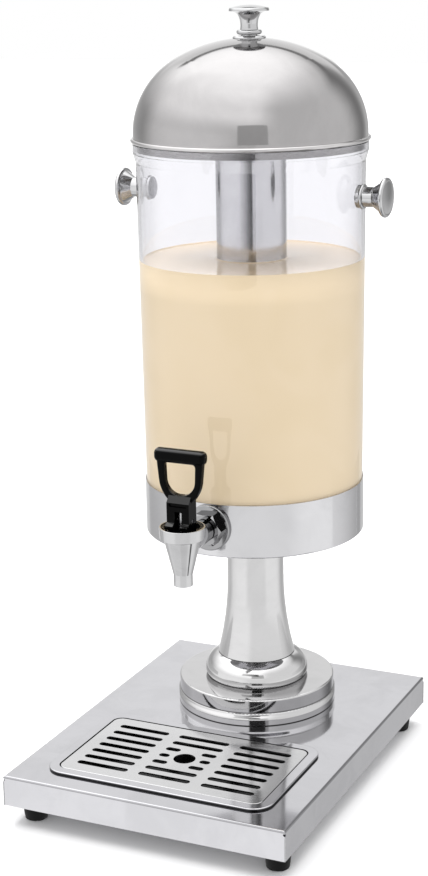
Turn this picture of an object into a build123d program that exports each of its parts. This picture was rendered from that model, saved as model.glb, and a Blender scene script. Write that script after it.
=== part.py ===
from build123d import *
import os
from math import atan2, cos, pi, radians, sin, sqrt

# Juice dispenser: a clear tank with an ice tube and a domed lid, on a column over a drip tray.
# Millimetres, +Z up. The origin is on the floor, midway along the overall depth. The tap faces -Y.

# Clearances
fastener_gap = 0.05     # radial, screw or rod in its nut
passage_gap = 0.5       # radial, screw, rod or shank through a plate
pin_gap = 0.05          # radial, lever pin in the stem's eye
guide_gap = 0.08        # radial, stem in the bonnet's guide
loose_gap = 0.3         # between pieces that move apart
tray_cutout_gap = 1.0   # drip tray in the base's cut-out
grid_gap = 1.0          # drip grid in the tray's recess
cup_gap = 0.25          # tank in its steel cup
lid_skirt_gap = 0.35    # lid skirt in the tank's rim

# Base pan
base_width = 248.0
base_depth = 328.0
base_sheet = 1.2
skirt_height = 25.5
bend_radius = 2.0
corner_relief_radius = 1.2
corner_relief_drop = 3.2
return_flange_margin = 3.0

# Feet
foot_stand = 18.0
foot_top_radius = 11.5
foot_bottom_radius = 9.3
foot_edge_radius = 1.0
foot_inset_x = 16.0
foot_inset_y = 23.5
foot_pocket_radius = 5.0
foot_pocket_depth = 7.0
foot_screw_radius = 2.0
foot_screw_head_radius = 3.8
foot_screw_head_height = 2.6
foot_screw_end = 1.0
foot_nut_flats = 7.0
foot_nut_height = 3.2

# Column
column_back_inset = 96.0
spun_wall = 1.5
column_foot_lower_radius = 69.2
column_foot_upper_radius = 68.2
column_foot_lower_height = 11.5
column_foot_upper_height = 12.0
column_foot_edge = 1.4
column_foot_step_edge = 0.8
collar_foot_radius = 43.5
collar_radius = 45.2
collar_belly_rise = 4.0
collar_belly_radius = 12.0
collar_height = 20.3
column_bottom_radius = 33.8
column_top_radius = 24.7
column_height = 116.2
column_straight = 45.5
column_edge = 0.7

# Tie rod
rod_radius = 5.0
rod_end = 4.0
rod_chamfer = 1.0
rod_nut_flats = 17.0
rod_nut_height = 8.0
rod_washer_radius = 14.0
rod_washer_thickness = 2.0
stiffener_width = 150.0
stiffener_depth = 110.0
stiffener_thickness = 3.0

# Tank cup and tank
band_radius = 94.3
band_height = 45.5
band_sheet = 0.8
band_bottom_edge = 1.6
tank_height = 331.1
tank_wall = 3.0
tank_floor = 4.0
tank_taper = 0.0079
tank_floor_fillet = 5.0
rim_height = 16.0
rim_flare_height = 8.5
rim_flare = 2.3
rim_edge = 0.8

# Ice tube
tank_seal_radius = 16.0
tank_seal_thickness = 2.0
ice_tube_radius = 29.4
ice_tube_wall = 1.0
ice_tube_height = 320.0
ice_tube_floor = 3.0
ice_tube_lip = 1.4
ice_tube_boss_radius = 9.5
ice_tube_boss_height = 12.0

# Side knobs, sizes along the knob measured from the tank wall
side_knob_drop = 42.4
side_knob_sink = 2.0
side_knob_ring_radius = 9.5
side_knob_ring_length = 2.6
side_knob_bead_radius = 10.5
side_knob_bead_length = 2.8
side_knob_neck_radius = 8.4
side_knob_neck_length = 8.0
side_knob_flare_length = 7.5
side_knob_flare_radius = 13.6
side_knob_disc_radius = 16.3
side_knob_disc_length = 4.1
side_knob_face_radius = 13.2
side_knob_crown = 0.8

# Lid
lid_sheet = 0.9
lid_bead_section = 1.9
lid_bead_overhang = 1.6
lid_bead_projection = 2.1
lid_skirt_depth = 8.0
dome_straight = 4.0
dome_rise = 77.3
dome_crown_radius = 124.7

# Lid knob, sizes upwards from the dome's top
lid_knob_base_radius = 13.6
lid_knob_base_sink = 1.5
lid_knob_base_height = 1.0
lid_knob_neck_radius = 6.6
lid_knob_neck_rise = 1.5
lid_knob_neck_height = 0.5
lid_knob_bead_radius = 10.4
lid_knob_bead_height = 4.0
lid_knob_shoulder_radius = 7.4
lid_knob_waist_radius = 7.1
lid_knob_waist_rise = 4.9
lid_knob_collar_radius = 9.5
lid_knob_collar_rise = 7.2
lid_knob_disc_radius = 16.4
lid_knob_flare_height = 2.6
lid_knob_flare_slope = 0.1
lid_knob_disc_height = 2.6
lid_knob_face_radius = 15.6
lid_knob_crown = 2.4
lid_screw_radius = 2.5
lid_screw_depth = 12.0
lid_screw_head_radius = 4.6
lid_screw_head_height = 2.8
lid_washer_radius = 9.0
lid_washer_thickness = 1.6

# Tap body, heights measured from the shank's axis
tap_reach = 49.8
shank_rise = 25.5
shank_radius = 8.0
shank_bore_radius = 5.0
shank_end = 3.0
tap_root_radius = 10.5
tap_root_end_radius = 9.4
tap_root_gap = 1.5
tap_rim_radius = 18.7
tap_rim_taper = 0.6
tap_rim_top = 15.8
tap_rim_height = 9.5
tap_step_height = 1.4
tap_cone_top_radius = 15.0
tap_cone_bottom_radius = 8.0
tap_cone_drop = 23.7
tap_outlet_radius = 7.8
tap_outlet_bottom = 33.7
tap_outlet_bore_radius = 5.0
tap_rim_wall = 1.4
tap_rim_edge = 0.5
tap_bonnet_seat = 7.5
tap_chamber_radius = 9.2
tap_seat_top = 8.0
tap_seat_drop = 4.0

# Tap fixing
escutcheon_radius = 19.5
escutcheon_thickness = 3.0
escutcheon_edge = 1.2
lock_nut_flats = 26.0
lock_nut_length = 7.0
lock_nut_chamfer = 1.8
tap_gasket_radius = 13.5
tap_gasket_thickness = 2.0
inner_nut_flats = 24.0
inner_nut_length = 7.0

# Tap bonnet, stem and seat
bonnet_recess = 3.0
bonnet_ring_drop = 0.6
bonnet_ring_radius = 14.6
bonnet_sleeve_radius = 4.3
bonnet_sleeve_length = 4.5
stem_radius = 3.0
stem_flange_radius = 6.2
stem_flange_thickness = 1.2
stem_head = 7.7
stem_head_edge = 2.0
seat_cup_radius = 7.2
seat_cup_height = 6.3
stem_grip = 3.5
spring_radius = 5.2
spring_wire_radius = 0.45
spring_turns = 4.5
spring_arcs_per_turn = 4
spring_end_gap = 0.1

# Tap lever
lever_travel = 40.0
cam_radius = 4.5
cam_arcs = 3
cam_overrun = 3.0
foot_drop = 8.0
lever_pin_radius = 1.5
lever_pin_recess = 0.6
neck_width = 19.6
neck_depth = 15.0
neck_edge = 1.6
neck_shoulder = 15.5
neck_top = 20.5
toe_height = 2.2
fork_gap = 0.3
fork_height = 8.4
thumb_mark_width = 15.5
thumb_mark_height = 3.0
thumb_mark_depth = 1.5
thumb_mark_rise = 12.2
thumb_mark_radius = 1.2
arm_depth = 6.6
arm_edge = 1.5
loop_waist = 32.6
loop_waist_width = 37.0
loop_top_width = 40.0
window_bottom = 20.8
window_top = 47.0
window_bottom_width = 25.0
window_top_width = 27.2
window_bottom_radius = 12.4
window_top_radius = 2.5
bar_width = 44.3
bar_depth = 10.4
bar_height = 11.2
bar_edge = 4.6
bar_end_edge = 3.6

# Drip tray and grid
tray_width = 198.0
tray_depth = 125.0
tray_front_margin = 20.0
tray_corner_radius = 17.0
tray_sheet = 1.0
tray_flange_width = 8.2
tray_lip_height = 2.0
tray_lip_edge = 0.8
tray_ledge_width = 6.0
tray_pan_depth = 19.0
tray_pan_fillet = 2.5
grid_sheet = 1.2
grid_skirt = 3.0
grid_edge = 0.5
grid_drop = 0.2
slot_length = 46.0
slot_width = 6.0
slot_column_pitch = 56.0
slot_row_pitch = 12.7
slot_rows = 7
grid_hole_radius = 9.2
grid_hole_web = 4.6

# Levels that follow from the sizes above
skirt_bottom = foot_stand
base_top = skirt_bottom + skirt_height
collar_z = base_top + column_foot_lower_height + column_foot_upper_height
column_z = collar_z + collar_height
band_bottom = column_z + column_height
band_top = band_bottom + band_height
tank_bottom = band_bottom + band_sheet
tank_top = tank_bottom + tank_height
tank_floor_top = tank_bottom + tank_floor
ice_tube_z = tank_floor_top + tank_seal_thickness
rim_bottom = tank_top - rim_height
shank_z = band_bottom + shank_rise


def tank_radius(z):
    """Outer radius of the tank's tapered wall at a height."""
    radius_at_band = band_radius - band_sheet - cup_gap
    return radius_at_band + tank_taper * (z - band_top)


# Places: the lid reaches past the base's back edge, so the base stands a little forward of the origin
rim_radius = tank_radius(rim_bottom) + rim_flare
lid_radius = rim_radius + lid_bead_overhang
base_y = -max(lid_radius - column_back_inset, 0) / 2
column_y = base_y + base_depth / 2 - column_back_inset
tap_y = column_y - band_radius - tap_reach
tray_y = base_y - base_depth / 2 + tray_front_margin + tray_depth / 2
foot_x = base_width / 2 - foot_inset_x
foot_y = base_depth / 2 - foot_inset_y
base_place = Location((0, base_y, 0))
tray_place = Location((0, tray_y, 0))
column_plane = Plane(origin=(0, column_y, 0), x_dir=(0, 1, 0), z_dir=(1, 0, 0))
column_axis = Axis((0, column_y, 0), (0, 0, 1))
tap_plane = Plane.XZ.offset(-tap_y)
tap_axis = Axis((0, tap_y, 0), (0, 0, 1))
rod_passage = rod_radius + passage_gap

# Base pan: a folded sheet with skirts, return flanges for the feet and a cut-out for the tray
recess_width = tray_width - 2 * tray_flange_width
recess_depth = tray_depth - 2 * tray_flange_width
recess_radius = tray_corner_radius - tray_flange_width
cutout_margin = tray_sheet + tray_cutout_gap
flange_x = foot_inset_x + foot_top_radius + return_flange_margin
flange_y = foot_inset_y + foot_top_radius + return_flange_margin

with BuildPart() as base_pan:
    with BuildSketch(Plane.XY.offset(skirt_bottom)):
        with Locations(base_place):
            Rectangle(base_width, base_depth)
    extrude(amount=skirt_height)
    fillet(base_pan.faces().sort_by(Axis.Z)[-1].edges(), radius=bend_radius)
    with BuildSketch(Plane.XY.offset(skirt_bottom + base_sheet)):
        with Locations(base_place):
            Rectangle(base_width - 2 * base_sheet, base_depth - 2 * base_sheet)
    extrude(amount=skirt_height - 2 * base_sheet, mode=Mode.SUBTRACT)
    with BuildSketch(Plane.XY.offset(skirt_bottom)):
        with Locations(base_place):
            Rectangle(base_width - 2 * flange_x, base_depth - 2 * flange_y)
            with GridLocations(2 * foot_x, 2 * foot_y, 2, 2):
                Circle(foot_screw_radius + fastener_gap)
    extrude(amount=base_sheet, mode=Mode.SUBTRACT)
    with BuildSketch(Plane.XY.offset(base_top)):
        with Locations(tray_place):
            RectangleRounded(
                recess_width + 2 * cutout_margin,
                recess_depth + 2 * cutout_margin,
                recess_radius + cutout_margin,
            )
        with Locations((0, column_y)):
            Circle(rod_passage)
    extrude(amount=-base_sheet, mode=Mode.SUBTRACT)
    for side_x in (-1, 1):
        for side_y in (-1, 1):
            corner_y = base_y + side_y * base_depth / 2
            corner = (side_x * base_width / 2, corner_y, base_top - corner_relief_drop)
            with BuildSketch(Plane(origin=corner, z_dir=(side_x, side_y, 0))):
                Circle(corner_relief_radius)
            extrude(amount=2 * base_sheet, both=True, mode=Mode.SUBTRACT)
base_pan.part.label = "base_pan"
pieces = [base_pan.part]

# Stiffener plate under the base, where the column stands
stiffener_top = base_top - base_sheet
with BuildPart() as base_stiffener:
    with BuildSketch(Plane.XY.offset(stiffener_top)):
        with Locations((0, column_y)):
            Rectangle(stiffener_width, stiffener_depth)
            Circle(rod_passage, mode=Mode.SUBTRACT)
    extrude(amount=-stiffener_thickness)
base_stiffener.part.label = "base_stiffener"
pieces.append(base_stiffener.part)

# Rubber feet, tapered, each with a pocket for its screw head
foot_names = {(-1, -1): "front_left", (1, -1): "front_right", (-1, 1): "back_left", (1, 1): "back_right"}
screw_passage = foot_screw_radius + passage_gap
for (side_x, side_y), foot_name in foot_names.items():
    foot_place = (side_x * foot_x, base_y + side_y * foot_y, 0)
    with BuildPart() as foot:
        with BuildSketch(Plane(origin=foot_place, x_dir=(1, 0, 0), z_dir=(0, -1, 0))):
            with BuildLine():
                Polyline(
                    (screw_passage, foot_stand),
                    (foot_top_radius, foot_stand),
                    (foot_bottom_radius, 0),
                    (foot_pocket_radius, 0),
                    (foot_pocket_radius, foot_pocket_depth),
                    (screw_passage, foot_pocket_depth),
                    close=True,
                )
            make_face()
        revolve(axis=Axis(foot_place, (0, 0, 1)))
        rim_edges = foot.edges().filter_by(GeomType.CIRCLE).group_by(Axis.Z)[0]
        fillet(rim_edges.sort_by(SortBy.RADIUS)[-1], radius=foot_edge_radius)
    foot.part.label = f"foot_{foot_name}"
    pieces.append(foot.part)

# Screws and nuts that hold the feet to the return flanges
foot_screw_length = foot_stand - foot_pocket_depth + base_sheet + foot_nut_height + foot_screw_end
with BuildPart() as foot_screws:
    with BuildSketch(Plane.XY.offset(foot_pocket_depth)):
        with Locations(base_place):
            with GridLocations(2 * foot_x, 2 * foot_y, 2, 2):
                Circle(foot_screw_radius)
    extrude(amount=foot_screw_length)
    with BuildSketch(Plane.XY.offset(foot_pocket_depth)):
        with Locations(base_place):
            with GridLocations(2 * foot_x, 2 * foot_y, 2, 2):
                Circle(foot_screw_head_radius)
    extrude(amount=-foot_screw_head_height)
foot_screws.part.label = "foot_screws"
pieces.append(foot_screws.part)

with BuildPart() as foot_nuts:
    with BuildSketch(Plane.XY.offset(skirt_bottom + base_sheet)):
        with Locations(base_place):
            with GridLocations(2 * foot_x, 2 * foot_y, 2, 2):
                RegularPolygon(foot_nut_flats / 2, 6, major_radius=False)
                Circle(foot_screw_radius + fastener_gap, mode=Mode.SUBTRACT)
    extrude(amount=foot_nut_height)
foot_nuts.part.label = "foot_nuts"
pieces.append(foot_nuts.part)

# Column foot: a spun flange with two steps
column_foot_height = column_foot_lower_height + column_foot_upper_height
with BuildPart() as column_foot:
    with BuildSketch(Plane.XY.offset(base_top)):
        with Locations((0, column_y)):
            Circle(column_foot_lower_radius)
    extrude(amount=column_foot_lower_height)
    fillet(column_foot.faces().sort_by(Axis.Z)[-1].edges(), radius=column_foot_step_edge)
    with BuildSketch(Plane.XY.offset(base_top + column_foot_lower_height)):
        with Locations((0, column_y)):
            Circle(column_foot_upper_radius)
    extrude(amount=column_foot_upper_height)
    fillet(column_foot.faces().sort_by(Axis.Z)[-1].edges(), radius=column_foot_edge)
    with BuildSketch(Plane.XY.offset(base_top)):
        with Locations((0, column_y)):
            Circle(column_foot_upper_radius - spun_wall)
    extrude(amount=column_foot_height - spun_wall, mode=Mode.SUBTRACT)
    with BuildSketch(Plane.XY.offset(collar_z)):
        with Locations((0, column_y)):
            Circle(rod_passage)
    extrude(amount=-spun_wall, mode=Mode.SUBTRACT)
column_foot.part.label = "column_foot"
pieces.append(column_foot.part)


def collar_profile(wall):
    """Half section of the collar's bulb, drawn in from its outside by a wall."""
    crown = collar_height - wall
    belly = collar_radius - wall
    with BuildLine() as outline:
        Line((0, 0), (collar_foot_radius - wall, 0))
        RadiusArc((collar_foot_radius - wall, 0), (belly, collar_belly_rise), -collar_belly_radius)
        TangentArc((belly, collar_belly_rise), (column_bottom_radius - wall, crown), tangent=(0, 1))
        Line((column_bottom_radius - wall, crown), (0, crown))
        Line((0, crown), (0, 0))
    return outline.line


# Column collar: a bulb-shaped ring between the foot and the column
collar_plane = Plane(origin=(0, column_y, collar_z), x_dir=(0, 1, 0), z_dir=(1, 0, 0))
with BuildPart() as column_collar:
    with BuildSketch(collar_plane):
        make_face(collar_profile(0).edges())
    revolve(axis=column_axis)
    with BuildSketch(collar_plane):
        make_face(collar_profile(spun_wall).edges())
    revolve(axis=column_axis, mode=Mode.SUBTRACT)
    with BuildSketch(Plane.XY.offset(column_z)):
        with Locations((0, column_y)):
            Circle(rod_passage)
    extrude(amount=-spun_wall, mode=Mode.SUBTRACT)
column_collar.part.label = "column_collar"
pieces.append(column_collar.part)


def column_profile(wall):
    """Half section of the trumpet-shaped column, drawn in from its outside by a wall."""
    bottom = (column_bottom_radius - wall, column_z)
    tangent = (column_top_radius - wall, band_bottom - column_straight)
    top = (column_top_radius - wall, band_bottom - wall)
    with BuildLine() as outline:
        Line((0, column_z), bottom)
        TangentArc(tangent, bottom, tangent=(0, -1))
        Line(tangent, top)
        Line(top, (0, top[1]))
        Line((0, top[1]), (0, column_z))
    return outline.line


# Column: a spun tube that widens towards its foot, closed at the top
with BuildPart() as column:
    with BuildSketch(column_plane):
        make_face(column_profile(0).edges())
    revolve(axis=column_axis)
    with BuildSketch(column_plane):
        make_face(column_profile(spun_wall).edges())
    revolve(axis=column_axis, mode=Mode.SUBTRACT)
    foot_edges = column.edges().filter_by(GeomType.CIRCLE).group_by(Axis.Z)[0]
    fillet(foot_edges.sort_by(SortBy.RADIUS)[-1], radius=column_edge)
    with BuildSketch(Plane.XY.offset(band_bottom)):
        with Locations((0, column_y)):
            Circle(rod_passage)
    extrude(amount=-spun_wall, mode=Mode.SUBTRACT)
column.part.label = "column"
pieces.append(column.part)

# Tie rod from under the base into the ice tube's boss, with its washer and nut
rod_washer_bottom = stiffener_top - stiffener_thickness - rod_washer_thickness
rod_nut_bottom = rod_washer_bottom - rod_nut_height
rod_bottom = rod_nut_bottom - rod_end
rod_top = ice_tube_z + ice_tube_floor + ice_tube_boss_height - rod_end
with BuildPart() as tie_rod:
    with BuildSketch(Plane.XY.offset(rod_bottom)):
        with Locations((0, column_y)):
            Circle(rod_radius)
    extrude(amount=rod_top - rod_bottom)
    chamfer(tie_rod.edges().filter_by(GeomType.CIRCLE), length=rod_chamfer)
tie_rod.part.label = "tie_rod"
pieces.append(tie_rod.part)

with BuildPart() as tie_rod_washer:
    with BuildSketch(Plane.XY.offset(rod_washer_bottom)):
        with Locations((0, column_y)):
            Circle(rod_washer_radius)
            Circle(rod_passage, mode=Mode.SUBTRACT)
    extrude(amount=rod_washer_thickness)
tie_rod_washer.part.label = "tie_rod_washer"
pieces.append(tie_rod_washer.part)

with BuildPart() as tie_rod_nut:
    with BuildSketch(Plane.XY.offset(rod_nut_bottom)):
        with Locations((0, column_y)):
            RegularPolygon(rod_nut_flats / 2, 6, major_radius=False)
            Circle(rod_radius + fastener_gap, mode=Mode.SUBTRACT)
    extrude(amount=rod_nut_height)
tie_rod_nut.part.label = "tie_rod_nut"
pieces.append(tie_rod_nut.part)

# Tank cup: the steel band with a bottom, and the hole for the tap's shank
shank_plane = Plane.XZ.offset(-column_y)
shank_passage = shank_radius + passage_gap
with BuildPart() as tank_cup:
    with BuildSketch(Plane.XY.offset(band_bottom)):
        with Locations((0, column_y)):
            Circle(band_radius)
    extrude(amount=band_height)
    fillet(tank_cup.faces().sort_by(Axis.Z)[0].edges(), radius=band_bottom_edge)
    with BuildSketch(Plane.XY.offset(tank_bottom)):
        with Locations((0, column_y)):
            Circle(band_radius - band_sheet)
    extrude(amount=band_height - band_sheet, mode=Mode.SUBTRACT)
    with BuildSketch(Plane.XY.offset(band_bottom)):
        with Locations((0, column_y)):
            Circle(rod_passage)
    extrude(amount=band_sheet, mode=Mode.SUBTRACT)
    with BuildSketch(shank_plane):
        with Locations((0, shank_z)):
            Circle(shank_passage)
    extrude(amount=band_radius, mode=Mode.SUBTRACT)
tank_cup.part.label = "tank_cup"
pieces.append(tank_cup.part)


def tank_profile(wall, floor_z):
    """Half section of the tank, drawn in from its outside by a wall and up to a floor."""
    flare_z = rim_bottom + rim_flare_height
    with BuildLine() as outline:
        Polyline(
            (0, floor_z),
            (tank_radius(floor_z) - wall, floor_z),
            (tank_radius(rim_bottom) - wall, rim_bottom),
            (rim_radius - wall, flare_z),
            (rim_radius - wall, tank_top),
            (0, tank_top),
            close=True,
        )
    return outline.line


# Outside of the tank as one solid, which the tank and the pieces that seat on it are cut from
with BuildPart() as tank_outside:
    with BuildSketch(column_plane):
        make_face(tank_profile(0, tank_bottom).edges())
    revolve(axis=column_axis)

with BuildPart() as tank_inside:
    with BuildSketch(column_plane):
        make_face(tank_profile(tank_wall, tank_floor_top).edges())
    revolve(axis=column_axis)
    fillet(tank_inside.faces().sort_by(Axis.Z)[0].edges(), radius=tank_floor_fillet)

# Tank: clear, slightly tapered and flared at the rim for the lid
with BuildPart() as tank:
    add(tank_outside.part)
    add(tank_inside.part, mode=Mode.SUBTRACT)
    fillet(tank.faces().sort_by(Axis.Z)[-1].edges(), radius=rim_edge)
    with BuildSketch(Plane.XY.offset(tank_bottom)):
        with Locations((0, column_y)):
            Circle(rod_passage)
    extrude(amount=tank_floor, mode=Mode.SUBTRACT)
    with BuildSketch(shank_plane):
        with Locations((0, shank_z)):
            Circle(shank_passage)
    extrude(amount=band_radius, mode=Mode.SUBTRACT)
tank.part.label = "tank"
pieces.append(tank.part)

# Seal between the tank floor and the ice tube
with BuildPart() as tank_seal:
    with BuildSketch(Plane.XY.offset(tank_floor_top)):
        with Locations((0, column_y)):
            Circle(tank_seal_radius)
            Circle(rod_radius + fastener_gap, mode=Mode.SUBTRACT)
    extrude(amount=tank_seal_thickness)
tank_seal.part.label = "tank_seal"
pieces.append(tank_seal.part)

# Ice tube: open at the top with a rolled lip, closed at the bottom by a disc with a threaded boss
ice_tube_top = ice_tube_z + ice_tube_height
with BuildPart() as ice_tube:
    with BuildSketch(Plane.XY.offset(ice_tube_z)):
        with Locations((0, column_y)):
            Circle(ice_tube_radius)
    extrude(amount=ice_tube_height)
    with BuildSketch(Plane.XY.offset(ice_tube_z + ice_tube_floor)):
        with Locations((0, column_y)):
            Circle(ice_tube_radius - ice_tube_wall)
            Circle(ice_tube_boss_radius, mode=Mode.SUBTRACT)
    extrude(amount=ice_tube_boss_height, mode=Mode.SUBTRACT)
    with BuildSketch(Plane.XY.offset(ice_tube_z + ice_tube_floor + ice_tube_boss_height)):
        with Locations((0, column_y)):
            Circle(ice_tube_radius - ice_tube_wall)
    extrude(until=Until.LAST, mode=Mode.SUBTRACT)
    with BuildSketch(Plane.XY.offset(ice_tube_z)):
        with Locations((0, column_y)):
            Circle(rod_radius + fastener_gap)
    extrude(amount=ice_tube_floor + ice_tube_boss_height - rod_end / 2, mode=Mode.SUBTRACT)
    with BuildSketch(column_plane):
        with Locations((ice_tube_radius, ice_tube_top)):
            Circle(ice_tube_lip)
    revolve(axis=column_axis)
ice_tube.part.label = "ice_tube"
pieces.append(ice_tube.part)

# Side knobs, turned pieces bonded to the tank wall
side_knob_z = tank_top - side_knob_drop
knob_wall = tank_radius(side_knob_z)
side_knob_start = knob_wall - side_knob_sink
ring_end = knob_wall + side_knob_ring_length
bead_end = ring_end + side_knob_bead_length
neck_end = bead_end + side_knob_neck_length
flare_end = neck_end + side_knob_flare_length
disc_end = flare_end + side_knob_disc_length
crown_end = disc_end + side_knob_crown
side_bead_base = side_knob_bead_radius - side_knob_bead_length / 2
knob_plane = Plane(origin=(0, column_y, side_knob_z), x_dir=(1, 0, 0), z_dir=(0, -1, 0))
for side_name in ("right", "left"):
    with BuildPart() as side_knob:
        with BuildSketch(knob_plane):
            with BuildLine():
                Polyline(
                    (crown_end, 0),
                    (side_knob_start, 0),
                    (side_knob_start, side_knob_ring_radius),
                    (ring_end, side_knob_ring_radius),
                    (ring_end, side_bead_base),
                )
                ThreePointArc(
                    (ring_end, side_bead_base),
                    ((ring_end + bead_end) / 2, side_knob_bead_radius),
                    (bead_end, side_bead_base),
                )
                Polyline(
                    (bead_end, side_bead_base),
                    (bead_end, side_knob_neck_radius),
                    (neck_end, side_knob_neck_radius),
                    (flare_end, side_knob_flare_radius),
                )
                ThreePointArc(
                    (flare_end, side_knob_flare_radius),
                    ((flare_end + disc_end) / 2, side_knob_disc_radius),
                    (disc_end, side_knob_face_radius),
                )
                TangentArc((crown_end, 0), (disc_end, side_knob_face_radius), tangent=(0, 1))
            make_face()
        revolve(axis=Axis((0, column_y, side_knob_z), (1, 0, 0)))
        add(tank_outside.part, mode=Mode.SUBTRACT)
        if side_name == "left":
            mirror(about=Plane.YZ, mode=Mode.REPLACE)
    side_knob.part.label = f"side_knob_{side_name}"
    pieces.append(side_knob.part)

# Lid: a spun dome with a rolled bead that rests on the rim and a skirt that plugs into it
bead_z = tank_top + loose_gap + lid_bead_section
bead_radius = rim_radius + lid_bead_overhang - lid_bead_section
dome_radius = rim_radius + lid_bead_overhang - lid_bead_projection
dome_spring = bead_z + dome_straight
dome_top = dome_spring + dome_rise
skirt_radius = rim_radius - tank_wall - lid_skirt_gap


def dome_profile(wall):
    """Half section of the dome, drawn in from its outside by a wall."""
    edge = dome_radius - wall
    rise = dome_rise - wall
    crown = dome_crown_radius - wall
    knuckle = (crown**2 - edge**2 - (crown - rise) ** 2) / (2 * (crown - edge))
    turn = atan2(edge - knuckle, crown - rise)
    join = (crown * sin(turn), dome_spring + rise - crown + crown * cos(turn))
    with BuildLine() as outline:
        Polyline((0, bead_z), (edge, bead_z), (edge, dome_spring))
        TangentArc((edge, dome_spring), join, tangent=(0, 1))
        TangentArc(join, (0, dome_spring + rise), tangent=(-cos(turn), sin(turn)))
        Line((0, dome_spring + rise), (0, bead_z))
    return outline.line


with BuildPart() as dome_outside:
    with BuildSketch(column_plane):
        make_face(dome_profile(0).edges())
    revolve(axis=column_axis)

with BuildPart() as dome_inside:
    with BuildSketch(column_plane):
        make_face(dome_profile(lid_sheet).edges())
    revolve(axis=column_axis)

with BuildPart() as lid_dome:
    add(dome_outside.part)
    add(dome_inside.part, mode=Mode.SUBTRACT)
    with BuildSketch(column_plane):
        with Locations((bead_radius, bead_z)):
            Circle(lid_bead_section)
        with BuildLine():
            Polyline(
                (skirt_radius - lid_sheet, bead_z - lid_skirt_depth),
                (skirt_radius, bead_z - lid_skirt_depth),
                (skirt_radius, bead_z - lid_sheet),
                (bead_radius, bead_z - lid_sheet),
                (bead_radius, bead_z),
                (skirt_radius - lid_sheet, bead_z),
                close=True,
            )
        make_face()
    revolve(axis=column_axis)
    with BuildSketch(Plane.XY.offset(dome_top)):
        with Locations((0, column_y)):
            Circle(lid_screw_radius + fastener_gap)
    extrude(amount=2 * lid_sheet, both=True, mode=Mode.SUBTRACT)
lid_dome.part.label = "lid_dome"
pieces.append(lid_dome.part)

# Lid knob: a turned finial that sits on the dome, threaded from below
knob_base_z = dome_top - lid_knob_base_sink
knob_flange_z = dome_top + lid_knob_base_height
knob_neck_z = dome_top + lid_knob_neck_rise
knob_groove_z = knob_neck_z + lid_knob_neck_height
knob_bead_z = knob_groove_z + lid_knob_bead_height
lid_bead_base = lid_knob_bead_radius - lid_knob_bead_height / 2
knob_waist_z = knob_bead_z + lid_knob_waist_rise
knob_collar_z = knob_waist_z + lid_knob_collar_rise
knob_disc_z = knob_collar_z + lid_knob_flare_height
knob_crown_z = knob_disc_z + lid_knob_disc_height
knob_top = knob_crown_z + lid_knob_crown
with BuildPart() as lid_knob:
    with BuildSketch(column_plane):
        with BuildLine():
            Polyline(
                (0, knob_top),
                (0, knob_base_z),
                (lid_knob_base_radius, knob_base_z),
                (lid_knob_base_radius, dome_top),
                (lid_knob_base_radius - lid_knob_base_height, knob_flange_z),
                (lid_knob_neck_radius, knob_neck_z),
                (lid_knob_neck_radius, knob_groove_z),
                (lid_bead_base, knob_groove_z),
            )
            ThreePointArc(
                (lid_bead_base, knob_groove_z),
                (lid_knob_bead_radius, (knob_groove_z + knob_bead_z) / 2),
                (lid_bead_base, knob_bead_z),
            )
            Line((lid_bead_base, knob_bead_z), (lid_knob_shoulder_radius, knob_bead_z))
            ThreePointArc(
                (lid_knob_shoulder_radius, knob_bead_z),
                (lid_knob_waist_radius, knob_waist_z),
                (lid_knob_collar_radius, knob_collar_z),
            )
            TangentArc(
                (lid_knob_disc_radius, knob_disc_z),
                (lid_knob_collar_radius, knob_collar_z),
                tangent=(-1, -lid_knob_flare_slope),
            )
            RadiusArc(
                (lid_knob_disc_radius, knob_disc_z),
                (lid_knob_face_radius, knob_crown_z),
                -lid_knob_disc_height,
            )
            TangentArc((0, knob_top), (lid_knob_face_radius, knob_crown_z), tangent=(1, 0))
        make_face()
    revolve(axis=column_axis)
    add(dome_outside.part, mode=Mode.SUBTRACT)
    with BuildSketch(Plane.XY.offset(dome_top)):
        with Locations((0, column_y)):
            Circle(lid_screw_radius + fastener_gap)
    extrude(amount=lid_screw_depth + lid_screw_radius, both=True, mode=Mode.SUBTRACT)
lid_knob.part.label = "lid_knob"
pieces.append(lid_knob.part)

# Screw and soft washer under the dome
dome_underside = dome_top - lid_sheet
washer_bottom = dome_underside - lid_washer_thickness
with BuildPart() as lid_knob_washer:
    with BuildSketch(Plane.XY.offset(washer_bottom)):
        with Locations((0, column_y)):
            Circle(lid_washer_radius)
            Circle(lid_screw_radius + fastener_gap, mode=Mode.SUBTRACT)
    extrude(amount=lid_washer_thickness)
    add(dome_inside.part, mode=Mode.INTERSECT)
lid_knob_washer.part.label = "lid_knob_washer"
pieces.append(lid_knob_washer.part)

with BuildPart() as lid_knob_screw:
    with BuildSketch(Plane.XY.offset(washer_bottom)):
        with Locations((0, column_y)):
            Circle(lid_screw_radius)
    extrude(amount=dome_top + lid_screw_depth - washer_bottom)
    with BuildSketch(Plane.XY.offset(washer_bottom)):
        with Locations((0, column_y)):
            Circle(lid_screw_head_radius)
    extrude(amount=-lid_screw_head_height)
    fillet(lid_knob_screw.faces().sort_by(Axis.Z)[0].edges(), radius=lid_screw_head_height / 2)
lid_knob_screw.part.label = "lid_knob_screw"
pieces.append(lid_knob_screw.part)

# Places along the tap's shank, from the band towards the front and from the tank wall inwards
band_front = column_y - band_radius
escutcheon_front = band_front - escutcheon_thickness
lock_nut_front = escutcheon_front - lock_nut_length
wall_inside = column_y - tank_radius(shank_z) + tank_wall
gasket_back = wall_inside + tap_gasket_thickness
inner_nut_back = gasket_back + inner_nut_length
shank_back = inner_nut_back + shank_end
shank_axis = Axis((0, tap_y, shank_z), (0, 1, 0))


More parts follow.
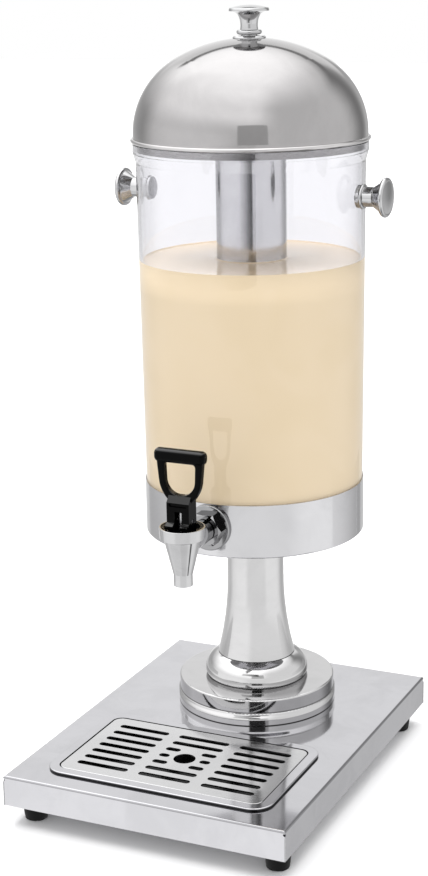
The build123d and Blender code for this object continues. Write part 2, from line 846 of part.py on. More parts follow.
def shank_section(y):
    """Plane across the shank at a place along it, looking at the tap from the front."""
    return Plane(origin=(0, y, shank_z), x_dir=(1, 0, 0), z_dir=(0, -1, 0))


# Tap body: rim, cone and outlet turned about the spout, with the shank behind
rim_z = shank_z + tap_rim_top
rim_low = rim_z - tap_rim_height
cone_top = rim_low - tap_step_height
cone_bottom = shank_z - tap_cone_drop
outlet_bottom = shank_z - tap_outlet_bottom
bonnet_seat = shank_z + tap_bonnet_seat
seat_top = shank_z - tap_seat_top
seat_bottom = seat_top - tap_seat_drop
tap_bore_radius = tap_rim_radius - tap_rim_wall
root_end = lock_nut_front - tap_root_gap
with BuildPart() as tap_body:
    with BuildSketch(tap_plane):
        with BuildLine():
            Polyline(
                (0, outlet_bottom),
                (tap_outlet_radius, outlet_bottom),
                (tap_outlet_radius, cone_bottom),
                (tap_cone_bottom_radius, cone_bottom),
                (tap_cone_top_radius, cone_top),
                (tap_rim_radius - tap_rim_taper, rim_low),
                (tap_rim_radius, rim_z),
                (0, rim_z),
                close=True,
            )
        make_face()
    revolve(axis=tap_axis)
    fillet(tap_body.faces().sort_by(Axis.Z)[-1].edges(), radius=tap_rim_edge)
    with BuildSketch(Plane.YZ):
        with BuildLine():
            Polyline(
                (tap_y, shank_z),
                (tap_y, shank_z + tap_root_radius),
                (root_end, shank_z + tap_root_end_radius),
                (root_end, shank_z + shank_radius),
                (shank_back, shank_z + shank_radius),
                (shank_back, shank_z),
                close=True,
            )
        make_face()
    revolve(axis=shank_axis)
    with BuildSketch(tap_plane):
        with BuildLine():
            Polyline(
                (0, outlet_bottom),
                (tap_outlet_bore_radius, outlet_bottom),
                (tap_outlet_bore_radius, seat_bottom),
                (tap_chamber_radius, seat_top),
                (tap_chamber_radius, bonnet_seat),
                (tap_bore_radius, bonnet_seat),
                (tap_bore_radius, rim_z),
                (0, rim_z),
                close=True,
            )
        make_face()
    revolve(axis=tap_axis, mode=Mode.SUBTRACT)
    with BuildSketch(shank_section(shank_back)):
        Circle(shank_bore_radius)
    extrude(amount=shank_back - tap_y, mode=Mode.SUBTRACT)
tap_body.part.label = "tap_body"
pieces.append(tap_body.part)

# Escutcheon, hollowed at the back to sit on the band
with BuildPart() as tap_escutcheon:
    with BuildSketch(shank_section(column_y)):
        Circle(escutcheon_radius)
        Circle(shank_radius + fastener_gap, mode=Mode.SUBTRACT)
    extrude(amount=column_y - escutcheon_front)
    front_edges = tap_escutcheon.faces().sort_by(Axis.Y)[0].edges()
    fillet(front_edges.sort_by(SortBy.RADIUS)[-1], radius=escutcheon_edge)
    with BuildSketch(Plane.XY.offset(band_bottom)):
        with Locations((0, column_y)):
            Circle(band_radius + fastener_gap)
    extrude(amount=band_height, mode=Mode.SUBTRACT)
tap_escutcheon.part.label = "tap_escutcheon"
pieces.append(tap_escutcheon.part)

# Hex lock nut, with its front corners turned off
lock_nut_corner = lock_nut_flats / 2 / cos(radians(30))
with BuildPart() as tap_lock_nut:
    with BuildSketch(shank_section(escutcheon_front)):
        RegularPolygon(lock_nut_flats / 2, 6, major_radius=False)
        Circle(shank_radius + fastener_gap, mode=Mode.SUBTRACT)
    extrude(amount=lock_nut_length)
    with BuildSketch(Plane.YZ):
        with BuildLine():
            Polyline(
                (lock_nut_front, shank_z),
                (lock_nut_front, shank_z + lock_nut_flats / 2),
                (lock_nut_front + lock_nut_chamfer, shank_z + lock_nut_corner),
                (escutcheon_front, shank_z + lock_nut_corner),
                (escutcheon_front, shank_z),
                close=True,
            )
        make_face()
    revolve(axis=shank_axis, mode=Mode.INTERSECT)
tap_lock_nut.part.label = "tap_lock_nut"
pieces.append(tap_lock_nut.part)

# Gasket and nut on the shank inside the tank
with BuildPart() as tap_inner_gasket:
    with BuildSketch(shank_section(gasket_back)):
        Circle(tap_gasket_radius)
        Circle(shank_radius + fastener_gap, mode=Mode.SUBTRACT)
    extrude(amount=gasket_back - band_front)
    with BuildSketch(column_plane):
        make_face(tank_profile(tank_wall + loose_gap, tank_floor_top).edges())
    revolve(axis=column_axis, mode=Mode.INTERSECT)
tap_inner_gasket.part.label = "tap_inner_gasket"
pieces.append(tap_inner_gasket.part)

with BuildPart() as tap_inner_nut:
    with BuildSketch(shank_section(inner_nut_back)):
        RegularPolygon(inner_nut_flats / 2, 6, major_radius=False)
        Circle(shank_radius + fastener_gap, mode=Mode.SUBTRACT)
    extrude(amount=inner_nut_length)
tap_inner_nut.part.label = "tap_inner_nut"
pieces.append(tap_inner_nut.part)

# Bonnet: closes the tap's chamber and guides the stem
bonnet_top = rim_z - bonnet_recess
sleeve_bottom = bonnet_seat - bonnet_sleeve_length
with BuildPart() as tap_bonnet:
    with BuildSketch(tap_plane):
        with BuildLine():
            Polyline(
                (stem_radius + guide_gap, sleeve_bottom),
                (bonnet_sleeve_radius, sleeve_bottom),
                (bonnet_sleeve_radius, bonnet_seat),
                (tap_bore_radius - fastener_gap, bonnet_seat),
                (tap_bore_radius - fastener_gap, rim_z - bonnet_ring_drop),
                (bonnet_ring_radius, rim_z - bonnet_ring_drop),
                (bonnet_ring_radius, bonnet_top),
                (stem_radius + guide_gap, bonnet_top),
                close=True,
            )
        make_face()
    revolve(axis=tap_axis)
tap_bonnet.part.label = "tap_bonnet"
pieces.append(tap_bonnet.part)

# Seat cup: soft plug that closes the outlet, drawn parallel to the seat's cone
seat_slope = tap_seat_drop / (tap_chamber_radius - tap_outlet_bore_radius)
seat_lift = loose_gap * sqrt(1 + seat_slope**2)


def cup_cone_z(radius):
    """Height of the seat cup's cone at a radius, clear of the seat below it."""
    return seat_bottom + seat_lift + (radius - tap_outlet_bore_radius) * seat_slope


cup_tip_radius = tap_outlet_bore_radius - loose_gap
cup_top = cup_cone_z(seat_cup_radius) + seat_cup_height
stem_bottom = cup_top - stem_grip
with BuildPart() as tap_seat_cup:
    with BuildSketch(tap_plane):
        with BuildLine():
            Polyline(
                (0, cup_cone_z(cup_tip_radius)),
                (cup_tip_radius, cup_cone_z(cup_tip_radius)),
                (seat_cup_radius, cup_cone_z(seat_cup_radius)),
                (seat_cup_radius, cup_top),
                (stem_radius + fastener_gap, cup_top),
                (stem_radius + fastener_gap, stem_bottom),
                (0, stem_bottom),
                close=True,
            )
        make_face()
    revolve(axis=tap_axis)
tap_seat_cup.part.label = "tap_seat_cup"
pieces.append(tap_seat_cup.part)

# Stem: a rod with a flange over the cup and a rounded head crossed by the pin's hole
pin_z = bonnet_top + loose_gap + foot_drop
stem_flange_top = cup_top + stem_flange_thickness
lever_side = Plane(origin=(0, tap_y, pin_z), x_dir=(0, 1, 0), z_dir=(1, 0, 0))
with BuildPart() as tap_stem:
    with BuildSketch(tap_plane):
        with BuildLine():
            Polyline(
                (0, stem_bottom),
                (stem_radius, stem_bottom),
                (stem_radius, cup_top),
                (stem_flange_radius, cup_top),
                (stem_flange_radius, stem_flange_top),
                (stem_radius, stem_flange_top),
                (stem_radius, pin_z + stem_head),
                (0, pin_z + stem_head),
                close=True,
            )
        make_face()
    revolve(axis=tap_axis)
    fillet(tap_stem.faces().sort_by(Axis.Z)[-1].edges(), radius=stem_head_edge)
    with BuildSketch(lever_side):
        Circle(lever_pin_radius + pin_gap)
    extrude(amount=stem_radius, both=True, mode=Mode.SUBTRACT)
tap_stem.part.label = "tap_stem"
pieces.append(tap_stem.part)

# Return spring around the bonnet's sleeve: a chain of arcs that climbs evenly
spring_bottom = stem_flange_top + spring_end_gap + spring_wire_radius
spring_top = bonnet_seat - spring_end_gap - spring_wire_radius
spring_arcs = round(spring_turns * spring_arcs_per_turn)
spring_climb = (spring_top - spring_bottom) / spring_arcs


def spring_point(step):
    """Point of the spring's wire axis after a number of arcs."""
    turn = 2 * pi * step / spring_arcs_per_turn
    return Vector(
        spring_radius * cos(turn),
        tap_y + spring_radius * sin(turn),
        spring_bottom + spring_climb * step,
    )


spring_slope = Vector(0, 2 * pi * spring_radius / spring_arcs_per_turn, spring_climb)
with BuildPart() as tap_spring:
    with BuildLine() as spring_axis:
        direction = spring_slope
        for step in range(spring_arcs):
            spring_arc = TangentArc(spring_point(step), spring_point(step + 1), tangent=direction)
            direction = spring_arc % 1
    with BuildSketch(Plane(origin=spring_axis.line @ 0, z_dir=spring_axis.line % 0)):
        Circle(spring_wire_radius)
    sweep(path=spring_axis.line)
tap_spring.part.label = "tap_spring"
pieces.append(tap_spring.part)


def cam_point(turn):
    """Point of the lever's foot that bears on the bonnet when the lever has turned by an angle."""
    reach = foot_drop + cam_radius * turn
    return (-reach * sin(turn) - cam_radius * cos(turn), -reach * cos(turn) + cam_radius * sin(turn))


# Lever: loop handle, thumb bar, forked neck and a foot whose toe is an involute cam
cam_step = radians(lever_travel + cam_overrun) / cam_arcs
cam_end = cam_point(cam_step * cam_arcs)
neck_front = -neck_depth / 2
arm_front = -arm_depth / 2
bar_middle = window_top + bar_height / 2
lever_front = Plane(origin=(0, tap_y, pin_z), x_dir=(1, 0, 0), z_dir=(0, -1, 0))
with BuildPart() as lever_bar:
    with BuildSketch(lever_side):
        with Locations((0, bar_middle)):
            RectangleRounded(bar_depth, bar_height, bar_edge)
    extrude(amount=bar_width / 2, both=True)
    fillet(lever_bar.edges().filter_by(Plane.YZ), radius=bar_end_edge)

with BuildPart() as lever_neck:
    with BuildSketch(lever_side):
        with BuildLine():
            for step in range(cam_arcs):
                ThreePointArc(
                    cam_point(cam_step * step),
                    cam_point(cam_step * (step + 0.5)),
                    cam_point(cam_step * (step + 1)),
                )
            Polyline(
                cam_end,
                (cam_end[0], cam_end[1] + toe_height),
                (neck_front, cam_end[1] + 2 * toe_height),
                (neck_front, neck_shoulder),
                (arm_front, neck_top),
                (-arm_front, neck_top),
                (-neck_front, neck_shoulder),
                (-neck_front, -foot_drop),
                cam_point(0),
            )
        make_face()
    extrude(amount=neck_width / 2, both=True)
    upright_edges = lever_neck.edges().filter_by(Axis.Z).filter_by(GeomType.LINE)
    fillet(upright_edges.group_by(Axis.Y)[-1], radius=neck_edge)

with BuildPart() as tap_lever:
    with BuildSketch(lever_front):
        with BuildLine():
            for side in (-1, 1):
                TangentArc(
                    (side * loop_waist_width / 2, loop_waist),
                    (side * neck_width / 2, neck_shoulder),
                    tangent=(side * (loop_waist_width - loop_top_width) / 2, loop_waist - window_top),
                )
                Polyline(
                    (side * loop_waist_width / 2, loop_waist),
                    (side * loop_top_width / 2, window_top),
                    (side * loop_top_width / 2, bar_middle),
                    (0, bar_middle),
                )
                Line((side * neck_width / 2, neck_shoulder), (0, neck_shoulder))
        make_face()
    extrude(amount=arm_depth / 2, both=True)
    with BuildSketch(lever_front) as window:
        with BuildLine():
            Polyline(
                (-window_bottom_width / 2, window_bottom),
                (window_bottom_width / 2, window_bottom),
                (window_top_width / 2, window_top),
                (-window_top_width / 2, window_top),
                close=True,
            )
        make_face()
        fillet(window.vertices().group_by(Axis.Y)[-1], radius=window_top_radius)
        fillet(window.vertices().group_by(Axis.Y)[0], radius=window_bottom_radius)
    extrude(amount=arm_depth, both=True, mode=Mode.SUBTRACT)
    fillet(tap_lever.faces().filter_by(Axis.Y).edges(), radius=arm_edge)
    add(lever_neck.part)
    add(lever_bar.part)
    with BuildSketch(lever_front):
        with Locations((0, (fork_height - foot_drop) / 2)):
            Rectangle(2 * (stem_radius + fork_gap), fork_height + foot_drop)
    extrude(amount=neck_depth + foot_drop, both=True, mode=Mode.SUBTRACT)
    with BuildSketch(lever_side):
        Circle(lever_pin_radius + fastener_gap)
    extrude(amount=neck_width, both=True, mode=Mode.SUBTRACT)
    with BuildSketch(lever_front.offset(-neck_front - thumb_mark_depth)):
        with Locations((0, thumb_mark_rise + thumb_mark_height / 2)):
            RectangleRounded(thumb_mark_width, thumb_mark_height, thumb_mark_radius)
    extrude(amount=neck_depth, mode=Mode.SUBTRACT)
tap_lever.part.label = "tap_lever"
pieces.append(tap_lever.part)

# Pin through the lever's fork and the stem's eye
with BuildPart() as tap_lever_pin:
    with BuildSketch(lever_side):
        Circle(lever_pin_radius)
    extrude(amount=neck_width / 2 - lever_pin_recess, both=True)
tap_lever_pin.part.label = "tap_lever_pin"
pieces.append(tap_lever_pin.part)

# Drip tray: a pressed pan with a raised flange around it and a ledge for the grid
flange_bottom = base_top + loose_gap
flange_top = flange_bottom + tray_lip_height
grid_top = flange_top - grid_drop
ledge_top = grid_top - grid_sheet - grid_skirt - loose_gap
pan_bottom = flange_top - tray_pan_depth
pan_width = recess_width - 2 * tray_ledge_width
pan_depth = recess_depth - 2 * tray_ledge_width
pan_radius = recess_radius - tray_ledge_width / 2
with BuildPart() as pan_inside:
    with BuildSketch(Plane.XY.offset(pan_bottom + tray_sheet)):
        with Locations(tray_place):
            RectangleRounded(pan_width, pan_depth, pan_radius)
    extrude(amount=ledge_top - pan_bottom - tray_sheet)
    fillet(pan_inside.faces().sort_by(Axis.Z)[0].edges(), radius=tray_pan_fillet - tray_sheet)

with BuildPart() as drip_tray:
    with BuildSketch(Plane.XY.offset(flange_bottom)):
        with Locations(tray_place):
            RectangleRounded(tray_width, tray_depth, tray_corner_radius)
    extrude(amount=tray_lip_height)
    fillet(drip_tray.faces().sort_by(Axis.Z)[-1].edges(), radius=tray_lip_edge)
    with BuildSketch(Plane.XY.offset(flange_bottom)):
        with Locations(tray_place):
            RectangleRounded(
                tray_width - 2 * tray_sheet,
                tray_depth - 2 * tray_sheet,
                tray_corner_radius - tray_sheet,
            )
    extrude(amount=tray_lip_height - tray_sheet, mode=Mode.SUBTRACT)
    with BuildSketch(Plane.XY.offset(flange_top - tray_sheet)):
        with Locations(tray_place):
            RectangleRounded(
                recess_width + 2 * tray_sheet,
                recess_depth + 2 * tray_sheet,
                recess_radius + tray_sheet,
            )
    extrude(amount=ledge_top - flange_top)
    with BuildSketch(Plane.XY.offset(ledge_top)):
        with Locations(tray_place):
            RectangleRounded(
                pan_width + 2 * tray_sheet,
                pan_depth + 2 * tray_sheet,
                pan_radius + tray_sheet,
            )
    extrude(amount=pan_bottom - ledge_top)
    fillet(drip_tray.faces().sort_by(Axis.Z)[0].edges(), radius=tray_pan_fillet)
    with BuildSketch(Plane.XY.offset(ledge_top)):
        with Locations(tray_place):
            RectangleRounded(recess_width, recess_depth, recess_radius)
    extrude(amount=flange_top - ledge_top, mode=Mode.SUBTRACT)
    add(pan_inside.part, mode=Mode.SUBTRACT)
drip_tray.part.label = "drip_tray"
pieces.append(drip_tray.part)

# Drip grid: a pressed plate with turned-down edges, three columns of slots and a round hole
grid_width = recess_width - 2 * grid_gap
grid_depth = recess_depth - 2 * grid_gap
grid_radius = recess_radius - grid_gap
slot_radius = slot_width / 2
slot_area = (slot_rows - 1) / 2
with BuildPart() as drip_grid:
    with BuildSketch(Plane.XY.offset(grid_top)):
        with Locations(tray_place):
            RectangleRounded(grid_width, grid_depth, grid_radius)
    extrude(amount=-grid_sheet - grid_skirt)
    fillet(drip_grid.faces().sort_by(Axis.Z)[-1].edges(), radius=grid_edge)
    with BuildSketch(Plane.XY.offset(grid_top - grid_sheet)):
        with Locations(tray_place):
            RectangleRounded(
                grid_width - 2 * grid_sheet,
                grid_depth - 2 * grid_sheet,
                grid_radius - grid_sheet,
            )
    extrude(amount=-grid_skirt, mode=Mode.SUBTRACT)
    with BuildSketch(Plane.XY.offset(grid_top)):
        with Locations(tray_place):
            Circle(grid_hole_radius)
            with GridLocations(2 * slot_column_pitch, slot_row_pitch, 2, slot_rows):
                SlotOverall(slot_length, slot_width)
            for row in range(slot_rows):
                row_y = (row - slot_area) * slot_row_pitch
                inner_y = max(abs(row_y) - slot_radius, 0)
                clear_radius = grid_hole_radius + grid_hole_web
                if inner_y >= clear_radius:
                    with Locations((0, row_y)):
                        SlotOverall(slot_length, slot_width)
                else:
                    slot_start = sqrt(clear_radius**2 - inner_y**2)
                    short_length = slot_length / 2 - slot_start
                    for side in (-1, 1):
                        with Locations((side * (slot_start + short_length / 2), row_y)):
                            SlotOverall(short_length, slot_width)
    extrude(amount=-grid_sheet, mode=Mode.SUBTRACT)
drip_grid.part.label = "drip_grid"
pieces.append(drip_grid.part)

os.makedirs("parts", exist_ok=True)
for piece in pieces:
    export_step(piece, f"parts/{piece.label}.step")
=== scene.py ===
import math
from collections import namedtuple

import bmesh
import bpy
from bpy.props import FloatProperty, FloatVectorProperty, IntProperty, PointerProperty
from mathutils import Matrix, Vector


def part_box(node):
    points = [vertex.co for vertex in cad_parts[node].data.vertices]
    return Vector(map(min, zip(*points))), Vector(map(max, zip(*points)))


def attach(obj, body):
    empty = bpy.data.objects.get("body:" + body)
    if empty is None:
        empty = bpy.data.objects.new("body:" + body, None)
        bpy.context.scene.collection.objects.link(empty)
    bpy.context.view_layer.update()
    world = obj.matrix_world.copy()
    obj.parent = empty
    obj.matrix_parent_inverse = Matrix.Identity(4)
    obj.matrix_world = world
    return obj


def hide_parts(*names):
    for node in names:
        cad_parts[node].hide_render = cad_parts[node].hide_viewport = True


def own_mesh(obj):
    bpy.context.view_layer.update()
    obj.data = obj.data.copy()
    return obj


bl_info = {
    "name": "Juice dispenser",
    "version": (1, 0, 0),
    "blender": (4, 5, 0),
    "location": "3D View > Sidebar > Dispenser",
    "description": "Gives the juice dispenser its finishes, its juice and a plain studio",
    "category": "Object",
}

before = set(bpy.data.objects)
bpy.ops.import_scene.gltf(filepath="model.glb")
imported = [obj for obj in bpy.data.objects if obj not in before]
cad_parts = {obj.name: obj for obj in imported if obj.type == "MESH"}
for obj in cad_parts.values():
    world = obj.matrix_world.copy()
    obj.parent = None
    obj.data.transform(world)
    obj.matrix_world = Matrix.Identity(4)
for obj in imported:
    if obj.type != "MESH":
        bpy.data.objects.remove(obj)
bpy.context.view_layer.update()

full_turn = 2 * math.pi
quarter_turn = math.pi / 2
upright = Vector((0, 0, 1))

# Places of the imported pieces, in metres
column_low, column_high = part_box("column")
column_middle = (column_low + column_high) / 2
column_axis = Vector((column_middle.x, column_middle.y, 0))
tank_low, tank_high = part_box("tank")
cup_low, cup_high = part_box("tank_cup")
base_low, base_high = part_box("base_pan")
tray_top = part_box("drip_tray")[1].z
foot_low, foot_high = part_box("column_foot")
spring_low, spring_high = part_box("tap_spring")

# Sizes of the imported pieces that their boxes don't give, in metres
band_sheet = 0.0008
band_bottom_edge = 0.0016
cup_gap = 0.00025
tank_radius = cup_high.x - band_sheet - cup_gap
tank_wall = 0.003
tank_taper = 0.0079
tank_floor = 0.004
tank_floor_fillet = 0.005
tube_radius = 0.0294
foot_step_height = 0.0115
foot_step = foot_low.z + foot_step_height

# Lines and level bands of painted shade on the steel, and the foot's bulge: how far they reach from an edge
# and how softly they end, in metres
joint_line = 0.0006
foot_seat_line = 0.0007
step_line_below = 0.0002
step_line_above = 0.0008
foot_wall_low = 0.0012
foot_wall_high = 0.0020
foot_bulge_height = 0.0065
foot_bulge_depth = 0.003
lid_bead = 0.0042
lid_skirt_line = 0.0008
tray_lip = 0.0007
base_bend = 0.0018
base_bend_margin = 0.00025
line_fade = 0.0003
lid_fade = 0.0004
bend_fade = 0.0002
foot_wall_fade = 0.0012
above_all = 1.0

# Values between which a texture goes from none to all
line_range = (0.25, 0.75)
noise_range = (0.3, 0.7)
mark_range = (0.35, 0.7)
wisp_range = (0.35, 0.65)

# Strength of the bump from tool lines and from a moulded skin, and the roughness that marks add to steel
line_bump = 0.5
skin_bump = 0.4
mark_dulling = 0.03

# How much of its colour a surface keeps where it is marked, hazy or worn, and under painted shade
marked_share = 0.93
banded_marked_share = 0.92
painted_shade_share = 0.04
hazy_share = 0.985
worn_share = 1.3


def tone_property(name, description, default):
    """A colour that a user may change."""
    return FloatVectorProperty(
        name=name, description=description, default=default, subtype="COLOR", size=3, min=0, max=1
    )


def share_property(name, description, default):
    """A share from none to all that a user may change."""
    return FloatProperty(name=name, description=description, default=default, subtype="FACTOR", min=0, max=1)


def strength_property(name, description, default):
    """A strength that a user may change."""
    return FloatProperty(name=name, description=description, default=default, min=0.0)


def length_property(name, description, default):
    """A length in metres that a user may change."""
    return FloatProperty(name=name, description=description, default=default, unit="LENGTH", precision=5)


def angle_property(name, description, degrees):
    """An angle that a user may change."""
    return FloatProperty(name=name, description=description, default=math.radians(degrees), subtype="ANGLE")


def count_property(name, description, default, least):
    """A whole number that a user may change."""
    return IntProperty(name=name, description=description, default=default, min=least)


class DispenserFinish(bpy.types.PropertyGroup):
    """Colours and gloss of the pieces."""

    lid_tone: tone_property("Lid steel", "Colour of the lid's bead", (0.525, 0.513, 0.514))
    # Painted shade: how much the dome is darkened below its bead
    dome_shade: share_property("Dome shade", "How much darker than its bead the lid's dome is", 0.33)
    lid_roughness: share_property("Lid roughness", "Roughness of the lid's dome", 0.06)
    polished_tone: tone_property("Polished steel", "Colour of the column and its collar", (0.53, 0.527, 0.53))
    polished_roughness: share_property("Polished roughness", "Roughness of the polished steel", 0.06)
    # Darker than the polished steel, as painted shade on the foot
    foot_painted_dark_tone: tone_property("Foot steel", "Colour of the column's foot", (0.50, 0.497, 0.50))
    sheet_tone: tone_property("Sheet steel", "Colour of the base and tray", (0.515, 0.513, 0.533))
    sheet_roughness: share_property("Sheet roughness", "Roughness of the base and tray", 0.07)
    # Strength of the painted shade along the base's bend
    bend_shade: share_property("Bend shade", "How dull the bend along the base's edges is", 0.45)
    # Strength of the painted shade in the tray under the grid and its rim
    tray_shade: share_property("Tray shade", "How dull the tray is under the grid and its rim", 0.95)
    grid_tone: tone_property("Grid steel", "Colour of the drip grid", (0.56, 0.56, 0.565))
    grid_roughness: share_property("Grid roughness", "Roughness of the drip grid", 0.12)
    band_tone: tone_property("Band steel", "Colour of the tank's cup and the ice tube", (0.533, 0.531, 0.543))
    band_roughness: share_property("Band roughness", "Roughness of the tank's steel cup", 0.11)
    tube_roughness: share_property("Ice tube roughness", "Roughness of the ice tube", 0.12)
    chrome_tone: tone_property("Chrome", "Colour of the chrome trim", (0.47, 0.47, 0.475))
    chrome_roughness: share_property("Chrome roughness", "Roughness of the chrome trim", 0.05)
    # A darker copy of the chrome: painted dark reflection on the tap's nut and plate
    shank_painted_dark_tone: tone_property("Shank chrome", "Colour of the tap's nut and plate", (0.28, 0.28, 0.285))
    fastener_tone: tone_property("Fastener steel", "Colour of screws, nuts and rods", (0.42, 0.42, 0.43))
    fastener_roughness: share_property("Fastener roughness", "Roughness of screws, nuts and rods", 0.26)
    clear_tone: tone_property("Clear plastic", "Tint of the tank's surface", (0.968, 0.966, 0.982))
    clear_depth_tone: tone_property("Clear plastic depth", "Tint of thick clear plastic", (0.74, 0.74, 0.86))
    clear_density: strength_property("Clear plastic density", "Strength of the thick plastic's tint", 17.0)
    black_tone: tone_property("Black plastic", "Colour of the lever and bonnet", (0.0006, 0.0006, 0.0007))
    rubber_tone: tone_property("Rubber", "Colour of the feet", (0.003, 0.003, 0.0033))
    silicone_tone: tone_property("Silicone", "Colour of the seals", (0.80, 0.80, 0.78))


class DispenserJuice(bpy.types.PropertyGroup):
    """The juice in the tank."""

    level: length_property("Level", "Height of the juice's surface over the floor", 0.438)
    overlap: length_property("Overlap", "How far the juice reaches into what it touches", 0.0003)
    meniscus_rise: length_property("Meniscus rise", "How high the juice climbs at a wall", 0.0012)
    meniscus_width: length_property("Meniscus width", "How far from a wall the juice climbs", 0.004)
    side_tone: tone_property("Body", "Colour of the juice through the tank wall", (0.80, 0.65, 0.42))
    cloud_tone: tone_property("Cloud", "Colour of the denser wisps in the juice", (0.82, 0.67, 0.445))
    surface_tone: tone_property("Surface", "Colour of the juice's open surface", (0.88, 0.69, 0.44))
    segments: count_property("Segments", "Faces around the juice", 128, 24)
    side_rows: count_property("Rows", "Rows of faces up the juice's side", 9, 2)
    corner_rows: count_property("Corner rows", "Rows of faces round the juice's bottom corner", 6, 2)


class DispenserSeams(bpy.types.PropertyGroup):
    """Weld lines on the steel."""

    width: length_property("Width", "Width of a weld line", 0.0011)
    proud: length_property("Height", "How far a weld line stands proud", 0.00015)
    sunk: length_property("Depth", "How far a weld line reaches into the steel", 0.0003)
    corner_drop: length_property("Corner drop", "Where the base's corner lines start under its top", 0.0050)
    rows: count_property("Rows", "Faces along a weld line", 24, 4)


class DispenserSpring(bpy.types.PropertyGroup):
    """The return spring in the tap."""

    wire_radius: length_property("Wire", "Radius of the spring's wire", 0.00045)
    turns: FloatProperty(name="Turns", description="Turns of the spring", default=4.5, min=1.0)
    steps: count_property("Steps", "Rows of faces in each turn", 32, 8)
    sides: count_property("Sides", "Faces around the wire", 12, 6)


class DispenserStage(bpy.types.PropertyGroup):
    """Camera, floor and light."""

    azimuth: angle_property("Azimuth", "Camera's bearing to the right of the tap", 23.79)
    distance: length_property("Distance", "Camera's level distance from the column", 1.5175)
    height: length_property("Height", "Camera's height over the floor", 0.6915)
    pitch: angle_property("Pitch", "How far the camera looks down", 15.11)
    yaw: angle_property("Yaw", "How far the camera looks past the column", -1.30)
    roll: angle_property("Roll", "Camera's roll", -1.02)
    lens: FloatProperty(name="Lens", description="Focal length", default=75.04, unit="CAMERA")
    sun_bearing: angle_property("Light bearing", "Main light's bearing to the right of the camera", -150.0)
    sun_height: angle_property("Light height", "Main light's height over the horizon", 66.0)
    sun_spread: angle_property("Light spread", "How wide the main light is seen", 6.0)
    sun_strength: strength_property("Light strength", "Strength of the main light", 0.5)
    fill_bearing: angle_property("Fill bearing", "Bearing of a fill light to each side of the camera", 50.0)
    fill_height: angle_property("Fill height", "Height of the fill lights over the horizon", 30.0)
    fill_spread: angle_property("Fill spread", "How wide each fill light is seen", 130.0)
    fill_strength: strength_property("Fill strength", "Strength of each fill light", 0.7)
    top_height: angle_property("Top light height", "Height of the light from above over the horizon", 82.0)
    top_spread: angle_property("Top light spread", "How wide the light from above is seen", 70.0)
    top_strength: strength_property("Top light strength", "Strength of the light from above", 2.4)
    wall_strength: strength_property("Wall strength", "Brightness of the studio's walls in mirrors", 1.74)
    soft_strength: strength_property("Soft strength", "Brightness all round for dull surfaces", 0.74)
    floor_size: length_property("Floor size", "Half width of the floor", 9.0)
    floor_tone: tone_property("Floor", "Colour of the floor", (0.90, 0.90, 0.905))


class Graph:
    """Builds the nodes of one tree."""

    # Places of the two inputs and of the result among a mix node's sockets
    mix_sockets = {"FLOAT": (2, 3, 0), "RGBA": (6, 7, 2)}

    def __init__(self, tree):
        self.tree = tree

    def feed(self, target, value):
        """Links a socket to an input, or sets the input to a plain value."""
        if isinstance(value, bpy.types.NodeSocket):
            self.tree.links.new(value, target)
        else:
            target.default_value = value

    def add(self, kind, inputs=None, **fields):
        """Adds a node with its fields set and its inputs fed."""
        node = self.tree.nodes.new(kind)
        for name, value in fields.items():
            setattr(node, name, value)
        for name, value in (inputs or {}).items():
            self.feed(node.inputs[name], value)
        return node

    def math(self, operation, *values):
        """Adds a math node and returns its result."""
        return self.add("ShaderNodeMath", dict(enumerate(values)), operation=operation).outputs[0]

    def vector(self, operation, *values):
        """Adds a vector math node and returns the node."""
        return self.add("ShaderNodeVectorMath", dict(enumerate(values)), operation=operation)

    def parts(self, vector):
        """The x, y and z of a vector."""
        return self.add("ShaderNodeSeparateXYZ", {0: vector}).outputs

    def remap(self, value, low, high, to_low=0.0, to_high=1.0):
        """Maps a value smoothly from one range to another."""
        inputs = {"Value": value, "From Min": low, "From Max": high, "To Min": to_low, "To Max": to_high}
        return self.add("ShaderNodeMapRange", inputs, interpolation_type="SMOOTHSTEP").outputs[0]

    def window(self, value, limits, fades):
        """One between two limits, fading to none outside them."""
        low, high = limits
        low_fade, high_fade = fades
        rising = self.remap(value, low - low_fade, low + low_fade)
        falling = self.remap(value, high - high_fade, high + high_fade, 1.0, 0.0)
        return self.math("MULTIPLY", rising, falling)

    def at_least(self, count, least):
        """One where a whole number reaches a limit, and none below it."""
        return self.math("GREATER_THAN", count, least - 0.5)

    def mix(self, share, first, second, kind="FLOAT"):
        """Mixes two values or two colours by a share."""
        low, high, result = self.mix_sockets[kind]
        inputs = {"Factor": share, low: first, high: second}
        return self.add("ShaderNodeMix", inputs, data_type=kind).outputs[result]

    def blend(self, share, first, second):
        """Mixes two colours by a share."""
        return self.mix(share, first, second, "RGBA")

    def layer(self, share, first, second):
        """Mixes what two shader nodes give by a share."""
        inputs = {0: share, 1: first.outputs[0], 2: second.outputs[0]}
        return self.add("ShaderNodeMixShader", inputs).outputs[0]

    def noise(self, vector, scale, detail, roughness=0.5, distortion=0.0, dimensions="3D"):
        """Adds a noise texture and returns its value."""
        inputs = {"Vector": vector, "Scale": scale, "Detail": detail, "Roughness": roughness,
                  "Distortion": distortion}
        return self.add("ShaderNodeTexNoise", inputs, noise_dimensions=dimensions).outputs[0]

    def bump(self, height, strength, depth):
        """Raises the surface by a height and returns the node."""
        return self.add("ShaderNodeBump", {"Height": height, "Strength": strength, "Distance": depth})

    def place(self):
        """Where the surface is on the piece, in metres."""
        return self.add("ShaderNodeTexCoord").outputs["Object"]

    def facing(self):
        """Which way the surface faces on the piece."""
        return self.add("ShaderNodeTexCoord").outputs["Normal"]

    def path(self):
        """What the light's path has met so far."""
        return self.add("ShaderNodeLightPath").outputs


def rgba(tone, share=1.0):
    """A share of a colour, with full alpha."""
    return (*(min(1.0, channel * share) for channel in tone), 1.0)


